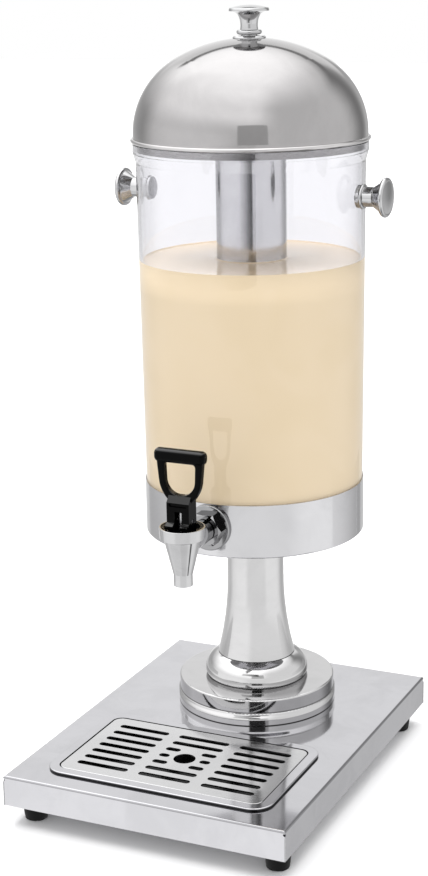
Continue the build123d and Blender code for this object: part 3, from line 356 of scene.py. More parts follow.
def place_effect(graph, name, output, build, values):
    """Places a shared effect, made at its first use, in a material with its own values."""
    tree = bpy.data.node_groups.get(name)
    if tree is None:
        tree = bpy.data.node_groups.new(name, "ShaderNodeTree")
        for socket_name, default in values.items():
            socket = tree.interface.new_socket(socket_name, in_out="INPUT", socket_type="NodeSocketFloat")
            socket.default_value = default
        tree.interface.new_socket(output, in_out="OUTPUT", socket_type="NodeSocketFloat")
        inner = Graph(tree)
        source = inner.add("NodeGroupInput")
        inner.add("NodeGroupOutput", {output: build(inner, source.outputs)})
    return graph.add("ShaderNodeGroup", values, node_tree=tree).outputs[output]


def build_spun_lines(graph, inputs):
    """Rings left by the spinning tool, around the column's axis."""
    from_axis = graph.parts(graph.vector("SUBTRACT", graph.place(), column_axis).outputs[0])
    squares = [graph.math("POWER", side, 2.0) for side in from_axis[:2]]
    radius = graph.math("SQRT", graph.math("ADD", *squares))
    ring = graph.add("ShaderNodeCombineXYZ", {0: radius, 1: from_axis[2]}).outputs[0]
    return graph.noise(ring, inputs["Fineness"], detail=3.0, roughness=0.65, dimensions="2D")


def build_brushed_lines(graph, inputs):
    """Straight grain of brushed sheet, level on the upright faces."""
    turned_aside = 0.7
    place = graph.parts(graph.place())
    facing = graph.parts(graph.facing())
    sideways = graph.math("GREATER_THAN", graph.math("ABSOLUTE", facing[0]), turned_aside)
    along = graph.mix(sideways, place[0], place[1])
    across = graph.mix(sideways, place[1], place[0])
    stretched = graph.math("MULTIPLY", along, inputs["Stretch"])
    grain = graph.add("ShaderNodeCombineXYZ", {0: stretched, 1: across, 2: place[2]}).outputs[0]
    return graph.noise(grain, inputs["Fineness"], detail=3.0, roughness=0.6)


def build_handling_marks(graph, inputs):
    """Faint wiping and handling marks."""
    marks = graph.noise(graph.place(), inputs["Scale"], detail=5.0, roughness=0.6, distortion=0.6)
    return graph.remap(marks, *mark_range)


def spun_lines(graph, fineness):
    """Places the spun lines in a material."""
    return place_effect(graph, "spun_lines", "Lines", build_spun_lines, {"Fineness": fineness})


def brushed_lines(graph, fineness):
    """Places the brushed lines in a material."""
    values = {"Fineness": fineness, "Stretch": 0.02}
    return place_effect(graph, "brushed_lines", "Lines", build_brushed_lines, values)


def handling_marks(graph, scale):
    """Places the handling marks in a material."""
    return place_effect(graph, "handling_marks", "Marks", build_handling_marks, {"Scale": scale})


def new_material(name, metallic=0.0):
    """An empty material, its graph and its shader."""
    material = bpy.data.materials.new(name)
    material.use_nodes = True
    shader = material.node_tree.nodes["Principled BSDF"]
    shader.inputs["Metallic"].default_value = metallic
    return material, Graph(material.node_tree), shader


def shade_surface(graph, shader, tone, lines, marks, roughness, spread, depth):
    """Feeds colour, roughness and bump from the tool lines and the marks."""
    graph.feed(shader.inputs["Base Color"], graph.blend(marks, rgba(tone), rgba(tone, marked_share)))
    from_lines = graph.remap(lines, *line_range, roughness - spread, roughness + spread)
    from_marks = graph.math("MULTIPLY", marks, mark_dulling)
    graph.feed(shader.inputs["Roughness"], graph.math("ADD", from_lines, from_marks))
    graph.feed(shader.inputs["Normal"], graph.bump(lines, line_bump, depth).outputs[0])


def spun_metal(name, tone, roughness, spread):
    """Steel spun on a former and polished."""
    material, graph, shader = new_material(name, metallic=1.0)
    marks = handling_marks(graph, scale=20.0)
    lines = spun_lines(graph, fineness=1500.0)
    shade_surface(graph, shader, tone, lines, marks, roughness, spread, depth=0.000006)
    return material


def brushed_metal(name, tone, roughness, fineness=1200.0):
    """Brushed or satin steel sheet."""
    material, graph, shader = new_material(name, metallic=1.0)
    marks = handling_marks(graph, scale=14.0)
    lines = brushed_lines(graph, fineness)
    shade_surface(graph, shader, tone, lines, marks, roughness, spread=0.03, depth=0.000003)
    return material


def plain_steel(name, finish):
    """Finely drawn steel of the fasteners."""
    return brushed_metal(name, finish.fastener_tone, finish.fastener_roughness, fineness=2500.0)


# A level band of painted shade on a piece: from and to which height, how softly it fades, how dark the
# painted shade is and how much rougher
Band = namedtuple("Band", "low high fade shade roughening")


def banded_metal(name, tone, roughness, lines, bands, bulge=None):
    """Steel darkened by painted shade in level bands, where it is also rougher, and that may bulge out from
    one height down to another.
    """
    material, graph, shader = new_material(name, metallic=1.0)
    height = graph.parts(graph.place())[2]
    shade = 0.0
    rough = roughness
    for band in bands:
        inside = graph.window(height, (band.low, band.high), (band.fade, band.fade))
        shade = graph.math("MULTIPLY_ADD", inside, band.shade, shade)
        rough = graph.math("MULTIPLY_ADD", inside, band.roughening, rough)
    marks = handling_marks(graph, scale=22.0)
    marked = graph.blend(marks, rgba(tone), rgba(tone, banded_marked_share))
    # Painted shade: inside the bands the colour goes towards a small share of the tone
    graph.feed(shader.inputs["Base Color"], graph.blend(shade, marked, rgba(tone, painted_shade_share)))
    graph.feed(shader.inputs["Roughness"], graph.math("MULTIPLY_ADD", marks, mark_dulling, rough))
    surface = graph.bump(lines(graph, fineness=1200.0), line_bump, depth=0.000003)
    if bulge:
        low, high, bulge_depth = bulge
        form = graph.bump(graph.remap(height, low, high, 1.0, 0.0), 1.0, bulge_depth)
        graph.feed(surface.inputs["Normal"], form.outputs[0])
    graph.feed(shader.inputs["Normal"], surface.outputs[0])
    return material


def plated_metal(name, tone, roughness):
    """Bright plating with the faint waviness of a buffed casting."""
    material, graph, shader = new_material(name, metallic=1.0)
    wave = graph.noise(graph.place(), scale=90.0, detail=2.0)
    marks = handling_marks(graph, scale=60.0)
    shade_surface(graph, shader, tone, wave, marks, roughness, spread=0.01, depth=0.00005)
    return material


def moulded_plastic(name, tone, roughness, scale, depth, spread, specular=0.5, edge_shine=0.0):
    """Moulded plastic or rubber with a fine skin, and a shine on its upper rounded edges."""
    material, graph, shader = new_material(name)
    shader.inputs["Specular IOR Level"].default_value = specular
    if edge_shine:
        edges = graph.window(graph.parts(graph.facing())[2], limits=(0.62, 0.92), fades=(0.12, 0.05))
        graph.feed(shader.inputs["Coat Weight"], graph.math("MULTIPLY", edges, edge_shine))
        shader.inputs["Coat Roughness"].default_value = 0.08
    skin = graph.noise(graph.place(), scale, detail=4.0)
    marks = handling_marks(graph, scale=70.0)
    graph.feed(shader.inputs["Base Color"], graph.blend(marks, rgba(tone), rgba(tone, worn_share)))
    from_skin = graph.remap(skin, *noise_range, roughness - spread, roughness + spread)
    from_marks = graph.math("MULTIPLY", marks, spread)
    graph.feed(shader.inputs["Roughness"], graph.math("ADD", from_skin, from_marks))
    graph.feed(shader.inputs["Normal"], graph.bump(skin, skin_bump, depth).outputs[0])
    return material


def clear_plastic(name, tone, depth_tone, density):
    """Clear plastic, tinted where it is thick, that lets lamps and soft light through."""
    material, graph, shader = new_material(name)
    shader.inputs["Transmission Weight"].default_value = 1.0
    shader.inputs["IOR"].default_value = 1.49
    haze = graph.noise(graph.place(), scale=30.0, detail=3.0)
    graph.feed(shader.inputs["Base Color"], graph.blend(haze, rgba(tone), rgba(tone, hazy_share)))
    graph.feed(shader.inputs["Roughness"], graph.remap(haze, *noise_range, to_low=0.005, to_high=0.03))
    thick = graph.add("ShaderNodeVolumeAbsorption", {"Color": rgba(depth_tone), "Density": density})
    passing = graph.add("ShaderNodeBsdfTransparent", {"Color": rgba(tone)})
    path = graph.path()
    soft = graph.math("MAXIMUM", path["Is Shadow Ray"], path["Is Diffuse Ray"])
    output = material.node_tree.get_output_node("ALL")
    graph.feed(output.inputs["Surface"], graph.layer(soft, shader, passing))
    graph.feed(output.inputs["Volume"], thick.outputs[0])
    return material


def juice_material(name, tone, cloud, roughness, specular):
    """Cloudy juice, a little denser in slow wisps."""
    material, graph, shader = new_material(name)
    shader.inputs["Specular IOR Level"].default_value = specular
    wisps = graph.noise(graph.place(), scale=16.0, detail=3.0, distortion=0.8)
    share = graph.remap(wisps, *wisp_range)
    graph.feed(shader.inputs["Base Color"], graph.blend(share, rgba(tone), rgba(cloud)))
    graph.feed(shader.inputs["Roughness"], graph.remap(wisps, *noise_range, roughness, roughness * 1.5))
    return material


def dress(node_names, material):
    """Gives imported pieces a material."""
    for name in node_names:
        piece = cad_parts[name]
        for slot in piece.material_slots:
            slot.material = material


def add_mesh(name, mesh, material_list):
    """Adds a finished mesh to the scene as an object."""
    mesh.normal_update()
    data = bpy.data.meshes.new(name)
    mesh.to_mesh(data)
    mesh.free()
    for material in material_list:
        data.materials.append(material)
    item = bpy.data.objects.new(name, data)
    bpy.context.scene.collection.objects.link(item)
    return item


def add_piece(name, mesh, material_list, body):
    """Adds a finished mesh as a piece that rides on a body."""
    piece = add_mesh(name, mesh, material_list)
    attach(piece, body)
    return piece


def add_ring(mesh, places):
    """Adds a ring of points."""
    return [mesh.verts.new(place) for place in places]


def bridge(mesh, lower, upper):
    """Joins two rings of points by a band of smooth faces."""
    faces = []
    for step in range(len(lower)):
        following = (step + 1) % len(lower)
        face = mesh.faces.new((lower[step], lower[following], upper[following], upper[step]))
        face.smooth = True
        faces.append(face)
    return faces


def lathe(mesh, profile, segments):
    """Turns a closed section of (radius, height) points about the column's axis."""
    turns = [full_turn * step / segments for step in range(segments)]
    rings = []
    for radius, height in profile:
        around = [Vector((radius * math.cos(turn), radius * math.sin(turn), height)) for turn in turns]
        rings.append(add_ring(mesh, [column_axis + place for place in around]))
    return [bridge(mesh, lower, upper) for lower, upper in zip(rings, rings[1:] + rings[:1])]


def skin_rings(mesh, rings):
    """Closes a row of rings into a solid with smooth sides and flat ends."""
    for lower, upper in zip(rings, rings[1:]):
        bridge(mesh, lower, upper)
    mesh.faces.new(tuple(reversed(rings[0])))
    mesh.faces.new(tuple(rings[-1]))


class DISPENSER_OT_polished_steel(bpy.types.Operator):
    """Polish the column, its collar and foot, and the lid's dome"""

    bl_idname = "dispenser.polished_steel"
    bl_label = "Polished steel"

    def execute(self, context):
        finish = context.scene.dispenser_finish
        gloss = finish.polished_roughness
        for name, low in (("column", column_low.z), ("column_collar", foot_high.z)):
            # Painted shade: a dark line at the foot of the column and of the collar, where each meets the
            # piece below
            joint_shade = Band(0.0, low + joint_line, line_fade, shade=0.85, roughening=0.1)
            dress([name], banded_metal(f"{name}_steel", finish.polished_tone, gloss, spun_lines, [joint_shade]))
        # Painted shade on the foot: a dark line where it sits on the base, a dark line at its step, and a
        # darker upper wall
        foot_shade_bands = [
            Band(0.0, foot_low.z + foot_seat_line, line_fade, shade=0.95, roughening=0.2),
            Band(foot_step - step_line_below, foot_step + step_line_above, line_fade, shade=0.5,
                 roughening=0.1),
            Band(foot_step + foot_wall_low, foot_high.z - foot_wall_high, foot_wall_fade, shade=0.06,
                 roughening=0.0),
        ]
        bulge = (foot_step - foot_bulge_height, foot_step, foot_bulge_depth)
        foot = banded_metal("foot_steel", finish.foot_painted_dark_tone, gloss, spun_lines, foot_shade_bands, bulge)
        dress(["column_foot"], foot)
        # Painted shade on the lid: its skirt darker under the bead, and its dome darker than the bead
        lid_shade_bands = [
            Band(0.0, tank_high.z - lid_skirt_line, lid_fade, shade=0.5, roughening=0.05),
            Band(tank_high.z + lid_bead, above_all, lid_fade, finish.dome_shade, roughening=0.0),
        ]
        lid = banded_metal("lid_steel", finish.lid_tone, finish.lid_roughness, spun_lines, lid_shade_bands)
        dress(["lid_dome"], lid)
        return {"FINISHED"}


class DISPENSER_OT_satin_steel(bpy.types.Operator):
    """Finish the sheet pieces in satin steel"""

    bl_idname = "dispenser.satin_steel"
    bl_label = "Satin steel"

    def execute(self, context):
        finish = context.scene.dispenser_finish
        # Painted shade along the bend of the base's top edges, holding back the highlight the bend would
        # catch
        bend = Band(base_high.z - base_bend, base_high.z - base_bend_margin, bend_fade, finish.bend_shade,
                    roughening=0.1)
        # Painted shade in the tray under the grid and on the lower part of its rim
        shade_under_rim = Band(0.0, tray_top - tray_lip, line_fade, finish.tray_shade, roughening=0.2)
        for name, band, nodes in (("satin_steel", bend, ["base_pan", "base_stiffener"]),
                                  ("tray_steel", shade_under_rim, ["drip_tray"])):
            sheet = banded_metal(name, finish.sheet_tone, finish.sheet_roughness, brushed_lines, [band])
            dress(nodes, sheet)
        dress(["drip_grid"], brushed_metal("grid_steel", finish.grid_tone, finish.grid_roughness))
        dress(["tank_cup"], spun_metal("band_steel", finish.band_tone, finish.band_roughness, spread=0.04))
        dress(["ice_tube"], spun_metal("tube_steel", finish.band_tone, finish.tube_roughness, spread=0.03))
        return {"FINISHED"}


class DISPENSER_OT_chrome(bpy.types.Operator):
    """Plate the tap and the knobs in bright chrome, and the tap's nut and plate in a darker chrome that holds
    painted dark reflections
    """

    bl_idname = "dispenser.chrome"
    bl_label = "Chrome"

    def execute(self, context):
        finish = context.scene.dispenser_finish
        chrome = plated_metal("chrome_trim", finish.chrome_tone, finish.chrome_roughness)
        dress(["side_knob_right", "side_knob_left", "lid_knob", "tap_body", "tap_inner_nut"], chrome)
        # Painted reflection: the nut and plate get a darker copy of the chrome for the dark reflections they
        # show
        shank = plated_metal("shank_chrome_painted_dark", finish.shank_painted_dark_tone, finish.chrome_roughness)
        dress(["tap_escutcheon", "tap_lock_nut"], shank)
        return {"FINISHED"}


class DISPENSER_OT_fasteners(bpy.types.Operator):
    """Finish screws, nuts, rod, stem, spring and pin in plain steel"""

    bl_idname = "dispenser.fasteners"
    bl_label = "Fasteners"

    def execute(self, context):
        names = ["foot_screws", "foot_nuts", "tie_rod", "tie_rod_washer", "tie_rod_nut", "lid_knob_screw",
                 "tap_stem", "tap_spring", "tap_lever_pin"]
        dress(names, plain_steel("fastener_steel", context.scene.dispenser_finish))
        return {"FINISHED"}


class DISPENSER_OT_clear_tank(bpy.types.Operator):
    """Make the tank of clear plastic"""

    bl_idname = "dispenser.clear_tank"
    bl_label = "Clear tank"

    def execute(self, context):
        finish = context.scene.dispenser_finish
        depth_tone = finish.clear_depth_tone
        clear = clear_plastic("clear_plastic", finish.clear_tone, depth_tone, finish.clear_density)
        dress(["tank"], clear)
        return {"FINISHED"}


class DISPENSER_OT_black_parts(bpy.types.Operator):
    """Finish the lever and bonnet in glossy black and the feet in rubber"""

    bl_idname = "dispenser.black_parts"
    bl_label = "Black parts"

    def execute(self, context):
        finish = context.scene.dispenser_finish
        glossy = moulded_plastic("black_plastic", finish.black_tone, roughness=0.11, scale=700.0,
                                 depth=0.00001, spread=0.03, specular=0.05, edge_shine=1.0)
        dress(["tap_lever", "tap_bonnet"], glossy)
        rubber = moulded_plastic("black_rubber", finish.rubber_tone, roughness=0.5, scale=900.0, depth=0.0001,
                                 spread=0.08, specular=0.12)
        dress([f"foot_{end}_{side}" for end in ("front", "back") for side in ("left", "right")], rubber)
        return {"FINISHED"}


class DISPENSER_OT_seals(bpy.types.Operator):
    """Finish the seals in milky silicone"""

    bl_idname = "dispenser.seals"
    bl_label = "Seals"

    def execute(self, context):
        finish = context.scene.dispenser_finish
        milky = moulded_plastic("silicone", finish.silicone_tone, roughness=0.45, scale=600.0, depth=0.00004,
                                spread=0.06)
        dress(["tank_seal", "lid_knob_washer", "tap_inner_gasket", "tap_seat_cup"], milky)
        return {"FINISHED"}


# The juice's rise at a wall, in shares of its width, and the angle from which an edge shows as a crease
climb_shares = (0.0, 0.15, 0.35, 0.6, 1.0)
crease_angle = math.radians(40)


def juice_section(juice):
    """Half the juice's section: its bottom and side, and then its open surface."""
    floor = tank_low.z + tank_floor - juice.overlap
    inner = tube_radius - juice.overlap

    def wall(height):
        return tank_radius + tank_taper * (height - cup_high.z) - tank_wall + juice.overlap

    below = [(inner, floor)]
    corner = wall(floor) - tank_floor_fillet
    for step in range(juice.corner_rows + 1):
        turn = quarter_turn * step / juice.corner_rows
        below.append((corner + tank_floor_fillet * math.sin(turn),
                      floor + tank_floor_fillet * (1 - math.cos(turn))))
    side_start = floor + tank_floor_fillet
    for step in range(1, juice.side_rows):
        height = side_start + (juice.level - side_start) * step / juice.side_rows
        below.append((wall(height), height))
    climb = [(share * juice.meniscus_width, juice.level + juice.meniscus_rise * (1 - share) ** 2)
             for share in climb_shares]
    rim = wall(juice.level)
    surface = [(rim - aside, height) for aside, height in climb]
    surface += [(inner + aside, height) for aside, height in reversed(climb)]
    return below, surface


class DISPENSER_OT_juice(bpy.types.Operator):
    """Fill the tank with juice around the ice tube"""

    bl_idname = "dispenser.juice"
    bl_label = "Juice"

    def execute(self, context):
        juice = context.scene.dispenser_juice
        below, surface = juice_section(juice)
        mesh = bmesh.new()
        bands = lathe(mesh, below + surface, juice.segments)
        for band in bands[len(below):-1]:
            for face in band:
                face.material_index = 1
        for edge in mesh.edges:
            edge.smooth = edge.calc_face_angle(0.0) <= crease_angle
        body = juice_material("juice", juice.side_tone, juice.cloud_tone, roughness=0.5, specular=0.15)
        top_tone = juice.surface_tone
        top = juice_material("juice_surface", top_tone, top_tone, roughness=0.07, specular=0.4)
        add_piece("juice", mesh, [body, top], "dispenser")
        return {"FINISHED"}


# Half of a weld bead's section: shares of its width aside from its middle, and of its height
bead_section = ((0.5, 0.0), (0.25, 0.7), (0.0, 1.0))


def weld_line(mesh, foot, outward, low, high, seams):
    """An upright bead of weld on a surface that faces outward."""
    across = upright.cross(outward)
    left = [(-aside, share * seams.proud) for aside, share in bead_section]
    right = [(-aside, rise) for aside, rise in reversed(left[:-1])]
    section = [(left[0][0], -seams.sunk), *left, *right, (right[-1][0], -seams.sunk)]
    rings = []
    for row in range(seams.rows + 1):
        level = foot + upright * (low + (high - low) * row / seams.rows)
        rings.append(add_ring(mesh, [level + across * (aside * seams.width) + outward * rise
                                     for aside, rise in section]))
    skin_rings(mesh, rings)


class DISPENSER_OT_seams(bpy.types.Operator):
    """Add the weld lines on the tank's cup and at the base's corners"""

    bl_idname = "dispenser.seams"
    bl_label = "Weld lines"

    def execute(self, context):
        seams = context.scene.dispenser_seams
        weld = plain_steel("weld_steel", context.scene.dispenser_finish)
        side = Vector((cup_high.x, column_axis.y, 0))
        mesh = bmesh.new()
        weld_line(mesh, side, Vector((1, 0, 0)), cup_low.z + band_bottom_edge, cup_high.z, seams)
        add_piece("band_weld", mesh, [weld], "dispenser")
        mesh = bmesh.new()
        for corner_x in (base_low.x, base_high.x):
            for corner_y in (base_low.y, base_high.y):
                outward = Vector((math.copysign(1, corner_x), math.copysign(1, corner_y), 0)).normalized()
                corner = Vector((corner_x, corner_y, 0))
                weld_line(mesh, corner, outward, base_low.z, base_high.z - seams.corner_drop, seams)
        add_piece("base_corner_welds", mesh, [weld], "dispenser")
        return {"FINISHED"}


def wind_spring(mesh, spring):
    """A round wire that climbs evenly around the stem."""
    middle = (spring_low + spring_high) / 2
    bottom = spring_low.z + spring.wire_radius
    top = spring_high.z - spring.wire_radius
    coil_radius = (spring_high.x - spring_low.x) / 2 - spring.wire_radius
    rows = round(spring.turns * spring.steps)
    climb = (top - bottom) / (spring.turns * full_turn)
    angles = [full_turn * side / spring.sides for side in range(spring.sides)]
    rings = []
    for row in range(rows + 1):
        turn = spring.turns * full_turn * row / rows
        outward = Vector((math.cos(turn), math.sin(turn), 0))
        along = Vector((-math.sin(turn) * coil_radius, math.cos(turn) * coil_radius, climb)).normalized()
        upward = outward.cross(along)
        spot = Vector((middle.x, middle.y, bottom + climb * turn)) + outward * coil_radius
        around = [outward * math.cos(angle) + upward * math.sin(angle) for angle in angles]
        rings.append(add_ring(mesh, [spot + way * spring.wire_radius for way in around]))
    skin_rings(mesh, rings)


class DISPENSER_OT_spring(bpy.types.Operator):
    """Wind the tap's return spring around the stem, in place of the imported one"""

    bl_idname = "dispenser.spring"
    bl_label = "Tap spring"

    def execute(self, context):
        mesh = bmesh.new()
        wind_spring(mesh, context.scene.dispenser_spring)
        steel = plain_steel("spring_steel", context.scene.dispenser_finish)
        coil = add_piece("tap_spring_coil", mesh, [steel], "dispenser")
        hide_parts("tap_spring")
        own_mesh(coil)
        return {"FINISHED"}


# How far the floor lies under the feet, in metres, and rows of faces in the floor and in a card
floor_drop = 0.0003
floor_rows = 8
card_rows = 4

# The camera's film width in millimetres and how far it sees in metres
film_width = 36.0
view_reach = 50.0

# The walls' brightness at two heights over the horizon, in degrees, and the glow around the main light
wall_heights = (34.0, 82.0)
wall_tones = (0.70, 1.40)
glow_edge = math.radians(46)
glow_core = math.radians(12)
glow_tone = 1.5

# A panel of the studio's light: bearings from the camera (right is positive) and heights over the horizon,
# in degrees, how softly it fades at its left and right and at its bottom and top, and its brightness
Panel = namedtuple("Panel", "name bearings heights side_fades height_fades tone")
light_panels = (
    Panel("left wall", (-101, -22), (-95, 14), (25, 12), (4, 12), 0.83),
    Panel("left wall, high", (-122, 16), (21, 60), (18, 18), (12, 12), 1.12),
    Panel("left ceiling", (-118, 28), (52, 76), (16, 16), (14, 14), 1.35),
    Panel("right wall, low", (36, 102), (-95, -8), (14, 14), (4, 4), 0.80),
    Panel("behind the camera, low", (-36, 38), (-95, -11), (10, 10), (4, 3), 0.70),
    Panel("back left", (-172, -118), (-12, 16), (16, 16), (10, 10), 0.34),
    Panel("back left, low", (-172, -116), (-95, -12), (14, 14), (4, 4), 0.50),
    Panel("back right", (121, 156), (-12, 38), (18, 18), (6, 6), 0.22),
    Panel("back right, side", (156, 172), (-12, 20), (10, 10), (6, 6), 0.30),
    Panel("back right, low", (116, 172), (-95, -12), (16, 8), (4, 4), 0.43),
    Panel("back wall, left side", (-205, -169), (-95, 18), (6, 6), (4, 4), 0.68),
    Panel("back wall, right side", (171, 205), (-95, 18), (6, 6), (4, 4), 0.66),
    Panel("back wall, high, left side", (-205, -158), (16, 31), (5, 5), (3, 1.5), 0.70),
    Panel("back wall, high, right side", (154, 205), (16, 31), (5, 5), (3, 1.5), 0.68),
    Panel("ceiling line, left side", (-205, -152), (31.5, 36), (4, 4), (1, 1), 0.22),
    Panel("ceiling line, right side", (142, 205), (31.5, 36), (4, 4), (1, 1), 0.22),
    Panel("floor", (-205, 205), (-110, -52), (1, 1), (1, 14), 0.25),
    Panel("floor, left", (-112, -14), (-80, -34), (10, 8), (4, 6), 0.68),
    Panel("floor, dark line", (60, 72), (-78, -33), (3, 3), (4, 4), 0.08),
)

# A card that only mirrors show: its bearings from the camera, its distance from the column, its heights over
# the floor, its brightness at its left and right, and after how many mirrors it shows
Card = namedtuple("Card", "name bearings distance heights tones mirrors")
mirror_cards = (
    Card("dome_card", (-12, 16), 1.20, (0.44, 0.95), (0.78, 0.78), 1),
    Card("tube_card", (-35, 4), 0.50, (0.345, 0.49), (1.16, 0.12), 1),
    Card("foot_card", (-11, 11), 0.62, (0.17, 0.60), (0.05, 0.05), 2),
    Card("left_card", (-138, -92), 0.50, (0.02, 0.13), (0.66, 0.90), 1),
    Card("right_card", (82, 138), 0.50, (0.02, 0.13), (1.15, 0.52), 1),
)


def towards(stage, bearing, height):
    """The direction of a bearing from the camera and a height over the horizon."""
    turn = stage.azimuth + bearing
    return Vector((math.sin(turn) * math.cos(height), -math.cos(turn) * math.cos(height), math.sin(height)))


def add_floor(stage):
    """A plain pale floor under the feet."""
    material, graph, shader = new_material("pale_floor")
    grain = graph.noise(graph.place(), scale=3.0, detail=3.0)
    tone = stage.floor_tone
    graph.feed(shader.inputs["Base Color"], graph.blend(grain, rgba(tone), rgba(tone, hazy_share)))
    graph.feed(shader.inputs["Roughness"], graph.remap(grain, *noise_range, to_low=0.75, to_high=0.85))
    shader.inputs["Specular IOR Level"].default_value = 0.1
    mesh = bmesh.new()
    bmesh.ops.create_grid(mesh, x_segments=floor_rows, y_segments=floor_rows, size=stage.floor_size)
    floor = add_mesh("floor", mesh, [material])
    floor.location.z = -floor_drop
    floor.visible_diffuse = False
    floor.visible_glossy = False
    floor.visible_transmission = False


def add_world(stage):
    """Light from all round: pale walls, a bright ceiling, and darker corners at the back."""
    world = bpy.data.worlds.new("studio")
    world.use_nodes = True
    world.node_tree.nodes.clear()
    graph = Graph(world.node_tree)
    direction = graph.add("ShaderNodeTexCoord").outputs["Generated"]

    def reach(way):
        return graph.vector("DOT_PRODUCT", direction, way).outputs["Value"]

    ahead = reach(towards(stage, 0, 0))
    aside = reach(towards(stage, quarter_turn, 0))
    bearing = graph.math("DEGREES", graph.math("ARCTAN2", aside, ahead))
    height = graph.math("DEGREES", graph.math("ARCSINE", reach(upright)))
    nearness = reach(towards(stage, stage.sun_bearing, stage.sun_height))
    glow = graph.remap(nearness, math.cos(glow_edge), math.cos(glow_core))
    tone = graph.mix(glow, graph.remap(height, *wall_heights, *wall_tones), glow_tone)
    for panel in light_panels:
        in_width = graph.window(bearing, panel.bearings, panel.side_fades)
        in_height = graph.window(height, panel.heights, panel.height_fades)
        tone = graph.mix(graph.math("MULTIPLY", in_width, in_height), tone, panel.tone)
    light = graph.add("ShaderNodeBackground", {"Color": tone, "Strength": stage.wall_strength})
    path = graph.path()
    mirrored = graph.at_least(path["Glossy Depth"], 1)
    through = graph.math("SUBTRACT", path["Is Transmission Ray"], mirrored)
    softly = graph.at_least(path["Diffuse Depth"], 1)
    seen = graph.math("MAXIMUM", path["Is Camera Ray"], graph.math("MAXIMUM", through, softly))
    strength = graph.math("MULTIPLY_ADD", softly, stage.soft_strength - 1.0, 1.0)
    plain = graph.add("ShaderNodeBackground", {"Color": (1.0, 1.0, 1.0, 1.0), "Strength": strength})
    graph.add("ShaderNodeOutputWorld", {"Surface": graph.layer(seen, light, plain)})
    bpy.context.scene.world = world


def add_lamp(name, direction, spread, strength, through_tank):
    """A far lamp that shines from a direction and that no mirror shows."""
    data = bpy.data.lights.new(name, "SUN")
    data.angle = spread
    data.energy = strength
    lamp = bpy.data.objects.new(name, data)
    lamp.rotation_euler = direction.to_track_quat("Z", "Y").to_euler()
    lamp.visible_glossy = False
    lamp.visible_transmission = through_tank
    bpy.context.scene.collection.objects.link(lamp)


def add_card(stage, card):
    """An upright card that faces the column, shaded from its left to its right."""
    material, graph, shader = new_material(card.name)
    shader.inputs["Base Color"].default_value = (0.0, 0.0, 0.0, 1.0)
    shader.inputs["Specular IOR Level"].default_value = 0.0
    shader.inputs["Emission Strength"].default_value = 1.0
    across = graph.parts(graph.place())[0]
    graph.feed(shader.inputs["Emission Color"], graph.remap(across, -1.0, 1.0, *card.tones))
    path = graph.path()
    softly = graph.at_least(path["Diffuse Depth"], 1)
    early = graph.math("SUBTRACT", 1.0, graph.at_least(path["Glossy Depth"], card.mirrors))
    hidden = graph.math("MAXIMUM", softly, early)
    clear = graph.add("ShaderNodeBsdfTransparent")
    output = material.node_tree.get_output_node("ALL")
    graph.feed(output.inputs["Surface"], graph.layer(hidden, shader, clear))
    mesh = bmesh.new()
    bmesh.ops.create_grid(mesh, x_segments=card_rows, y_segments=card_rows, size=1.0)
    sheet = add_mesh(card.name, mesh, [material])
    left, right = (math.radians(bearing) for bearing in card.bearings)
    low, high = card.heights
    middle = (left + right) / 2
    ahead = towards(stage, middle, 0)
    aside = towards(stage, middle + quarter_turn, 0)
    spot = column_axis + ahead * card.distance + upright * ((low + high) / 2)
    turn = Matrix((aside, upright, ahead)).transposed().to_4x4()
    half_width = card.distance * math.tan((right - left) / 2)
    size = Matrix.Diagonal((half_width, (high - low) / 2, 1.0, 1.0))
    sheet.matrix_world = Matrix.Translation(spot) @ turn @ size
    sheet.visible_camera = False
    sheet.visible_diffuse = False
    sheet.visible_shadow = False


def add_camera(stage):
    """The camera, placed around the column."""
    spot = column_axis + towards(stage, 0, 0) * stage.distance + upright * stage.height
    back = towards(stage, -stage.yaw, stage.pitch)
    right = towards(stage, quarter_turn - stage.yaw, 0)
    up = back.cross(right)
    rolled_right = right * math.cos(stage.roll) + up * math.sin(stage.roll)
    rolled_up = up * math.cos(stage.roll) - right * math.sin(stage.roll)
    turn = Matrix((rolled_right, rolled_up, back)).transposed().to_4x4()
    data = bpy.data.cameras.new("camera")
    data.lens = stage.lens
    data.sensor_width = film_width
    data.clip_end = view_reach
    camera = bpy.data.objects.new("camera", data)
    camera.matrix_world = Matrix.Translation(spot) @ turn
    bpy.context.scene.collection.objects.link(camera)
    bpy.context.scene.camera = camera


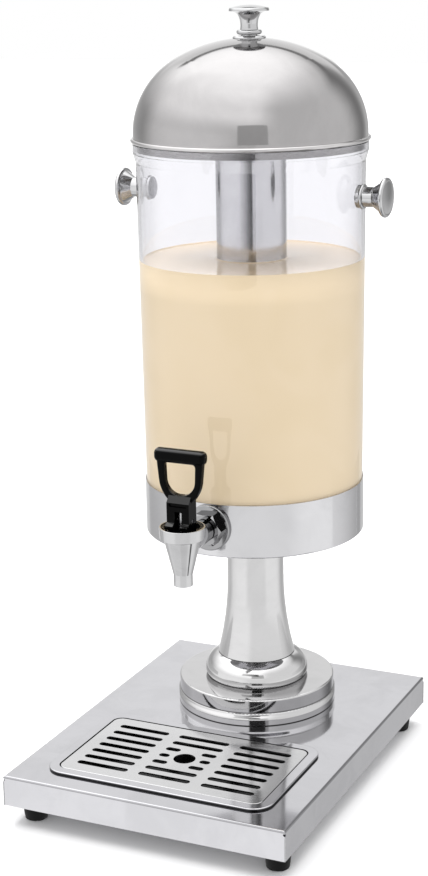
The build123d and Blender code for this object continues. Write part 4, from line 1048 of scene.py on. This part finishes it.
class DISPENSER_OT_stage(bpy.types.Operator):
    """Set the floor, the light and the camera"""

    bl_idname = "dispenser.stage"
    bl_label = "Stage"

    def execute(self, context):
        stage = context.scene.dispenser_stage
        add_floor(stage)
        add_world(stage)
        main = (stage.sun_spread, stage.sun_strength, True)
        fill = (stage.fill_spread, stage.fill_strength, False)
        top = (stage.top_spread, stage.top_strength, False)
        add_lamp("main_light", towards(stage, stage.sun_bearing, stage.sun_height), *main)
        add_lamp("left_fill", towards(stage, -stage.fill_bearing, stage.fill_height), *fill)
        add_lamp("right_fill", towards(stage, stage.fill_bearing, stage.fill_height), *fill)
        add_lamp("top_light", towards(stage, stage.sun_bearing, stage.top_height), *top)
        for card in mirror_cards:
            add_card(stage, card)
        add_camera(stage)
        context.scene.view_settings.view_transform = "Standard"
        return {"FINISHED"}


class DISPENSER_PT_panel(bpy.types.Panel):
    """Sizes, colours and steps of the dispenser"""

    bl_idname = "DISPENSER_PT_panel"
    bl_label = "Juice dispenser"
    bl_space_type = "VIEW_3D"
    bl_region_type = "UI"
    bl_category = "Dispenser"

    def draw(self, context):
        for setting in setting_groups:
            group = getattr(context.scene, setting)
            box = self.layout.box()
            for name in group.__annotations__:
                box.prop(group, name)
        for operator in operators:
            self.layout.operator(operator.bl_idname)


operators = (
    DISPENSER_OT_polished_steel,
    DISPENSER_OT_satin_steel,
    DISPENSER_OT_chrome,
    DISPENSER_OT_fasteners,
    DISPENSER_OT_clear_tank,
    DISPENSER_OT_black_parts,
    DISPENSER_OT_seals,
    DISPENSER_OT_juice,
    DISPENSER_OT_seams,
    DISPENSER_OT_spring,
    DISPENSER_OT_stage,
)
setting_groups = {
    "dispenser_finish": DispenserFinish,
    "dispenser_juice": DispenserJuice,
    "dispenser_seams": DispenserSeams,
    "dispenser_spring": DispenserSpring,
    "dispenser_stage": DispenserStage,
}


def register():
    """Registers the settings, the operators and the panel."""
    for name, group in setting_groups.items():
        bpy.utils.register_class(group)
        setattr(bpy.types.Scene, name, PointerProperty(type=group))
    for operator in operators:
        bpy.utils.register_class(operator)
    bpy.utils.register_class(DISPENSER_PT_panel)


def unregister():
    """Takes the panel, the operators and the settings out again."""
    bpy.utils.unregister_class(DISPENSER_PT_panel)
    for operator in reversed(operators):
        bpy.utils.unregister_class(operator)
    for name, group in setting_groups.items():
        delattr(bpy.types.Scene, name)
        bpy.utils.unregister_class(group)


def main():
    """Builds the looks in order."""
    register()
    for operator in operators:
        space, name = operator.bl_idname.split(".")
        getattr(getattr(bpy.ops, space), name)()
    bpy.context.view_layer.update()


if __name__ == "__main__":
    main()
